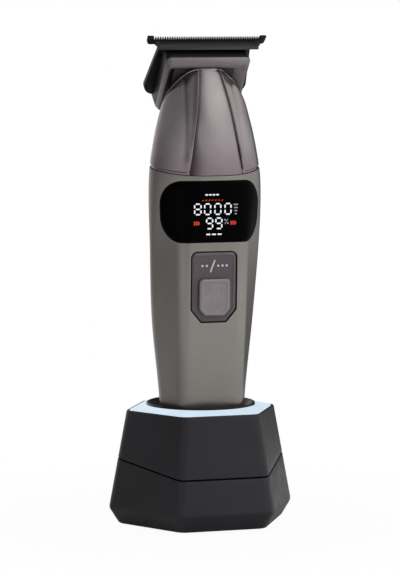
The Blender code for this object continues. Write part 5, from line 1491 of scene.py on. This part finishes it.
def buildDisplay():
    bar, dot = barTemplate("litBar"), dotTemplate("litDot")
    bright = []
    for row in ("upper", "lower"):
        for digit, x in display[row]:
            bright += digitPlaces(digit, x, display[row + "Height"])
    for row in ("level", "foot"):
        bright += [litPlace(x, display[row + "Height"], display[row + "Size"]) for x in display[row + "Bars"]]
    dim = [litPlace(*percent["stroke"], percent["size"], percent["spin"])]
    for height in speedSteps["heights"]:
        length = speedSteps["length"] + speedSteps["growth"] * (height - speedSteps["heights"][0])
        dim.append(litPlace(speedSteps["across"], height, (length, speedSteps["width"])))
    dots = [litPlace(x, height, percent["dotSize"]) for x, height in percent["dots"]]
    scatter("displayDigits", bar, bright, digitLight, "trimmer", "lens_black")
    scatter("displayMarks", bar, redPlaces(), redLight, "trimmer", "lens_black")
    scatter("displayPercent", dot, dots, dimLight, "trimmer", "lens_black")
    scatter("displaySteps", bar, dim, dimLight, "trimmer", "lens_black")
    lift = plateMarks["lift"]
    dots = [frontPlace(x, plateMarks["dotHeight"], lift, 0.0, plateMarks["dotSize"]) for x in plateMarks["dots"]]
    stroke = frontPlace(*plateMarks["stroke"], lift, plateMarks["spin"], plateMarks["strokeSize"])
    scatter("switchDots", dot, dots, markPrint, "trimmer", "switch_dark")
    scatter("switchStroke", bar, [stroke], markPrint, "trimmer", "switch_dark")
    for item in (bar, dot):
        bpy.data.objects.remove(item)


knurl = {"pitch": 1.25, "rise": 0.62, "rows": 9, "columns": 6, "inset": 1.9, "lift": 1.37, "wide": 0.94, "tall": 1.16,
         "height": 0.14}


def insideOutline(x, y, outline):
    pairs = zip(outline, outline[1:] + outline[:1])
    return all((b[0] - a[0]) * (y - a[1]) - (b[1] - a[1]) * (x - a[0]) >= 0 for a, b in pairs)


def buildThumb():
    pad = buildSwitch()
    peak = pyramidTemplate("knurlPeak")
    pitch = knurl["pitch"]
    size = (pitch * knurl["wide"], pitch * knurl["tall"], knurl["height"])
    inner = thumbOutline(knurl["inset"])
    places = []
    for row in range(-knurl["rows"], knurl["rows"] + 1):
        for column in range(-knurl["columns"], knurl["columns"] + 1):
            x = (column + 0.5 * (row % 2)) * pitch
            height = thumb["spine"][1] + row * pitch * knurl["rise"]
            if insideOutline(x, height, inner):
                places.append(frontPlace(x, height, knurl["lift"], 0.0, size))
    settle(pad, "switch", "thumb_metal", "switch_thumb")
    scatter("thumbKnurl", peak, places, thumbMetal, "switch", "thumb_metal")
    bpy.data.objects.remove(peak)


# Well liner: the foot of the handle stands in it. Edges are given as steps in from the side and down from the top.

liner = {"clearance": 0.5, "wall": 1.6, "top": 44.1, "funnel": 5.1, "lip": 0.9, "flangeTop": 38.0, "flangeBottom": 36.5,
         "reach": 1.9, "shelf": 32.0, "floorTop": 24.7, "skinLow": -0.9, "pinX": 5.0, "pinY": -2.0, "pinHole": 1.1,
         "outerEdge": ((0.0, 0.3), (0.09, 0.09), (0.3, 0.0)), "innerEdge": ((-0.25, 0.0), (0.0, 0.15))}


def linerRing(level, offset):
    row = skinRing(max(level - seatLevel, liner["skinLow"]), offset)
    row[:, 2] = level
    return row


def buildLiner():
    clearance, top = liner["clearance"], liner["top"]
    outer = clearance + liner["wall"]
    bottom = liner["floorTop"] - liner["wall"]
    rim = linerRing(seatLevel, outer)
    edge = ring["inner"] - gap
    rings = [linerRing(bottom, outer), linerRing(liner["flangeBottom"], outer)]
    flange = ring["inner"] + liner["reach"]
    rings += [circleRing(rim, flange, liner["flangeBottom"]), circleRing(rim, flange, liner["flangeTop"]),
              circleRing(rim, edge, liner["flangeTop"])]
    rings += [circleRing(rim, edge - back, top - down) for back, down in liner["outerEdge"]]
    rings += [circleRing(rim, edge - liner["lip"] - back, top - down) for back, down in liner["innerEdge"]]
    crown, throat = rings[-1], linerRing(top - liner["funnel"], clearance)
    for share in (0.3, 0.6, 0.85):
        row = crown + (throat - crown) * (1 - (1 - share) ** 2)
        row[:, 2] = crown[:, 2] + (throat[:, 2] - crown[:, 2]) * share
        rings.append(row)
    rings += [throat, linerRing(liner["shelf"], clearance), linerRing(liner["floorTop"], clearance)]
    piece = loftPiece("wellLiner", rings, linerGloss)
    for side in (-1, 1):
        centre = (side * liner["pinX"], liner["pinY"])
        cutWith(piece, roundBar("pinHole", centre, liner["pinHole"], bottom - over, liner["floorTop"] + over))
    shadeEdges(piece, 30)
    settle(piece, "dock", "liner_grey", "well_liner")


# The order of building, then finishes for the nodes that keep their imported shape

def finishNodes():
    finishes = {"handle_gunmetal": handleGunmetal, "nose_metal": noseMetal, "blade_black": bladeBlack,
                "lens_black": lensBlack, "switch_dark": switchDark, "thumb_metal": thumbMetal, "dock_black": dockBlack,
                "ring_white": ringLight, "liner_grey": linerGloss, "rubber": footRubber, "steel": plainSteel,
                "contact_gold": contactGold, "board_green": boardGreen, "inner_plastic": innerPlastic,
                "cell_wrap": cellWrap}
    for node in nodes.values():
        for place in node.material_slots:
            place.material = finishes[place.material.name.split(".")[0]]


buildDockLower()
buildDockUpper()
buildLightRing()
buildLiner()
print("dock built")
buildSleeve()
buildLens()
buildThumb()
buildDisplay()
print("handle built")
buildNose()
buildHood()
buildFixedBlade()
buildCutter()
print("head built")
finishNodes()

scene.view_settings.view_transform = "Standard"
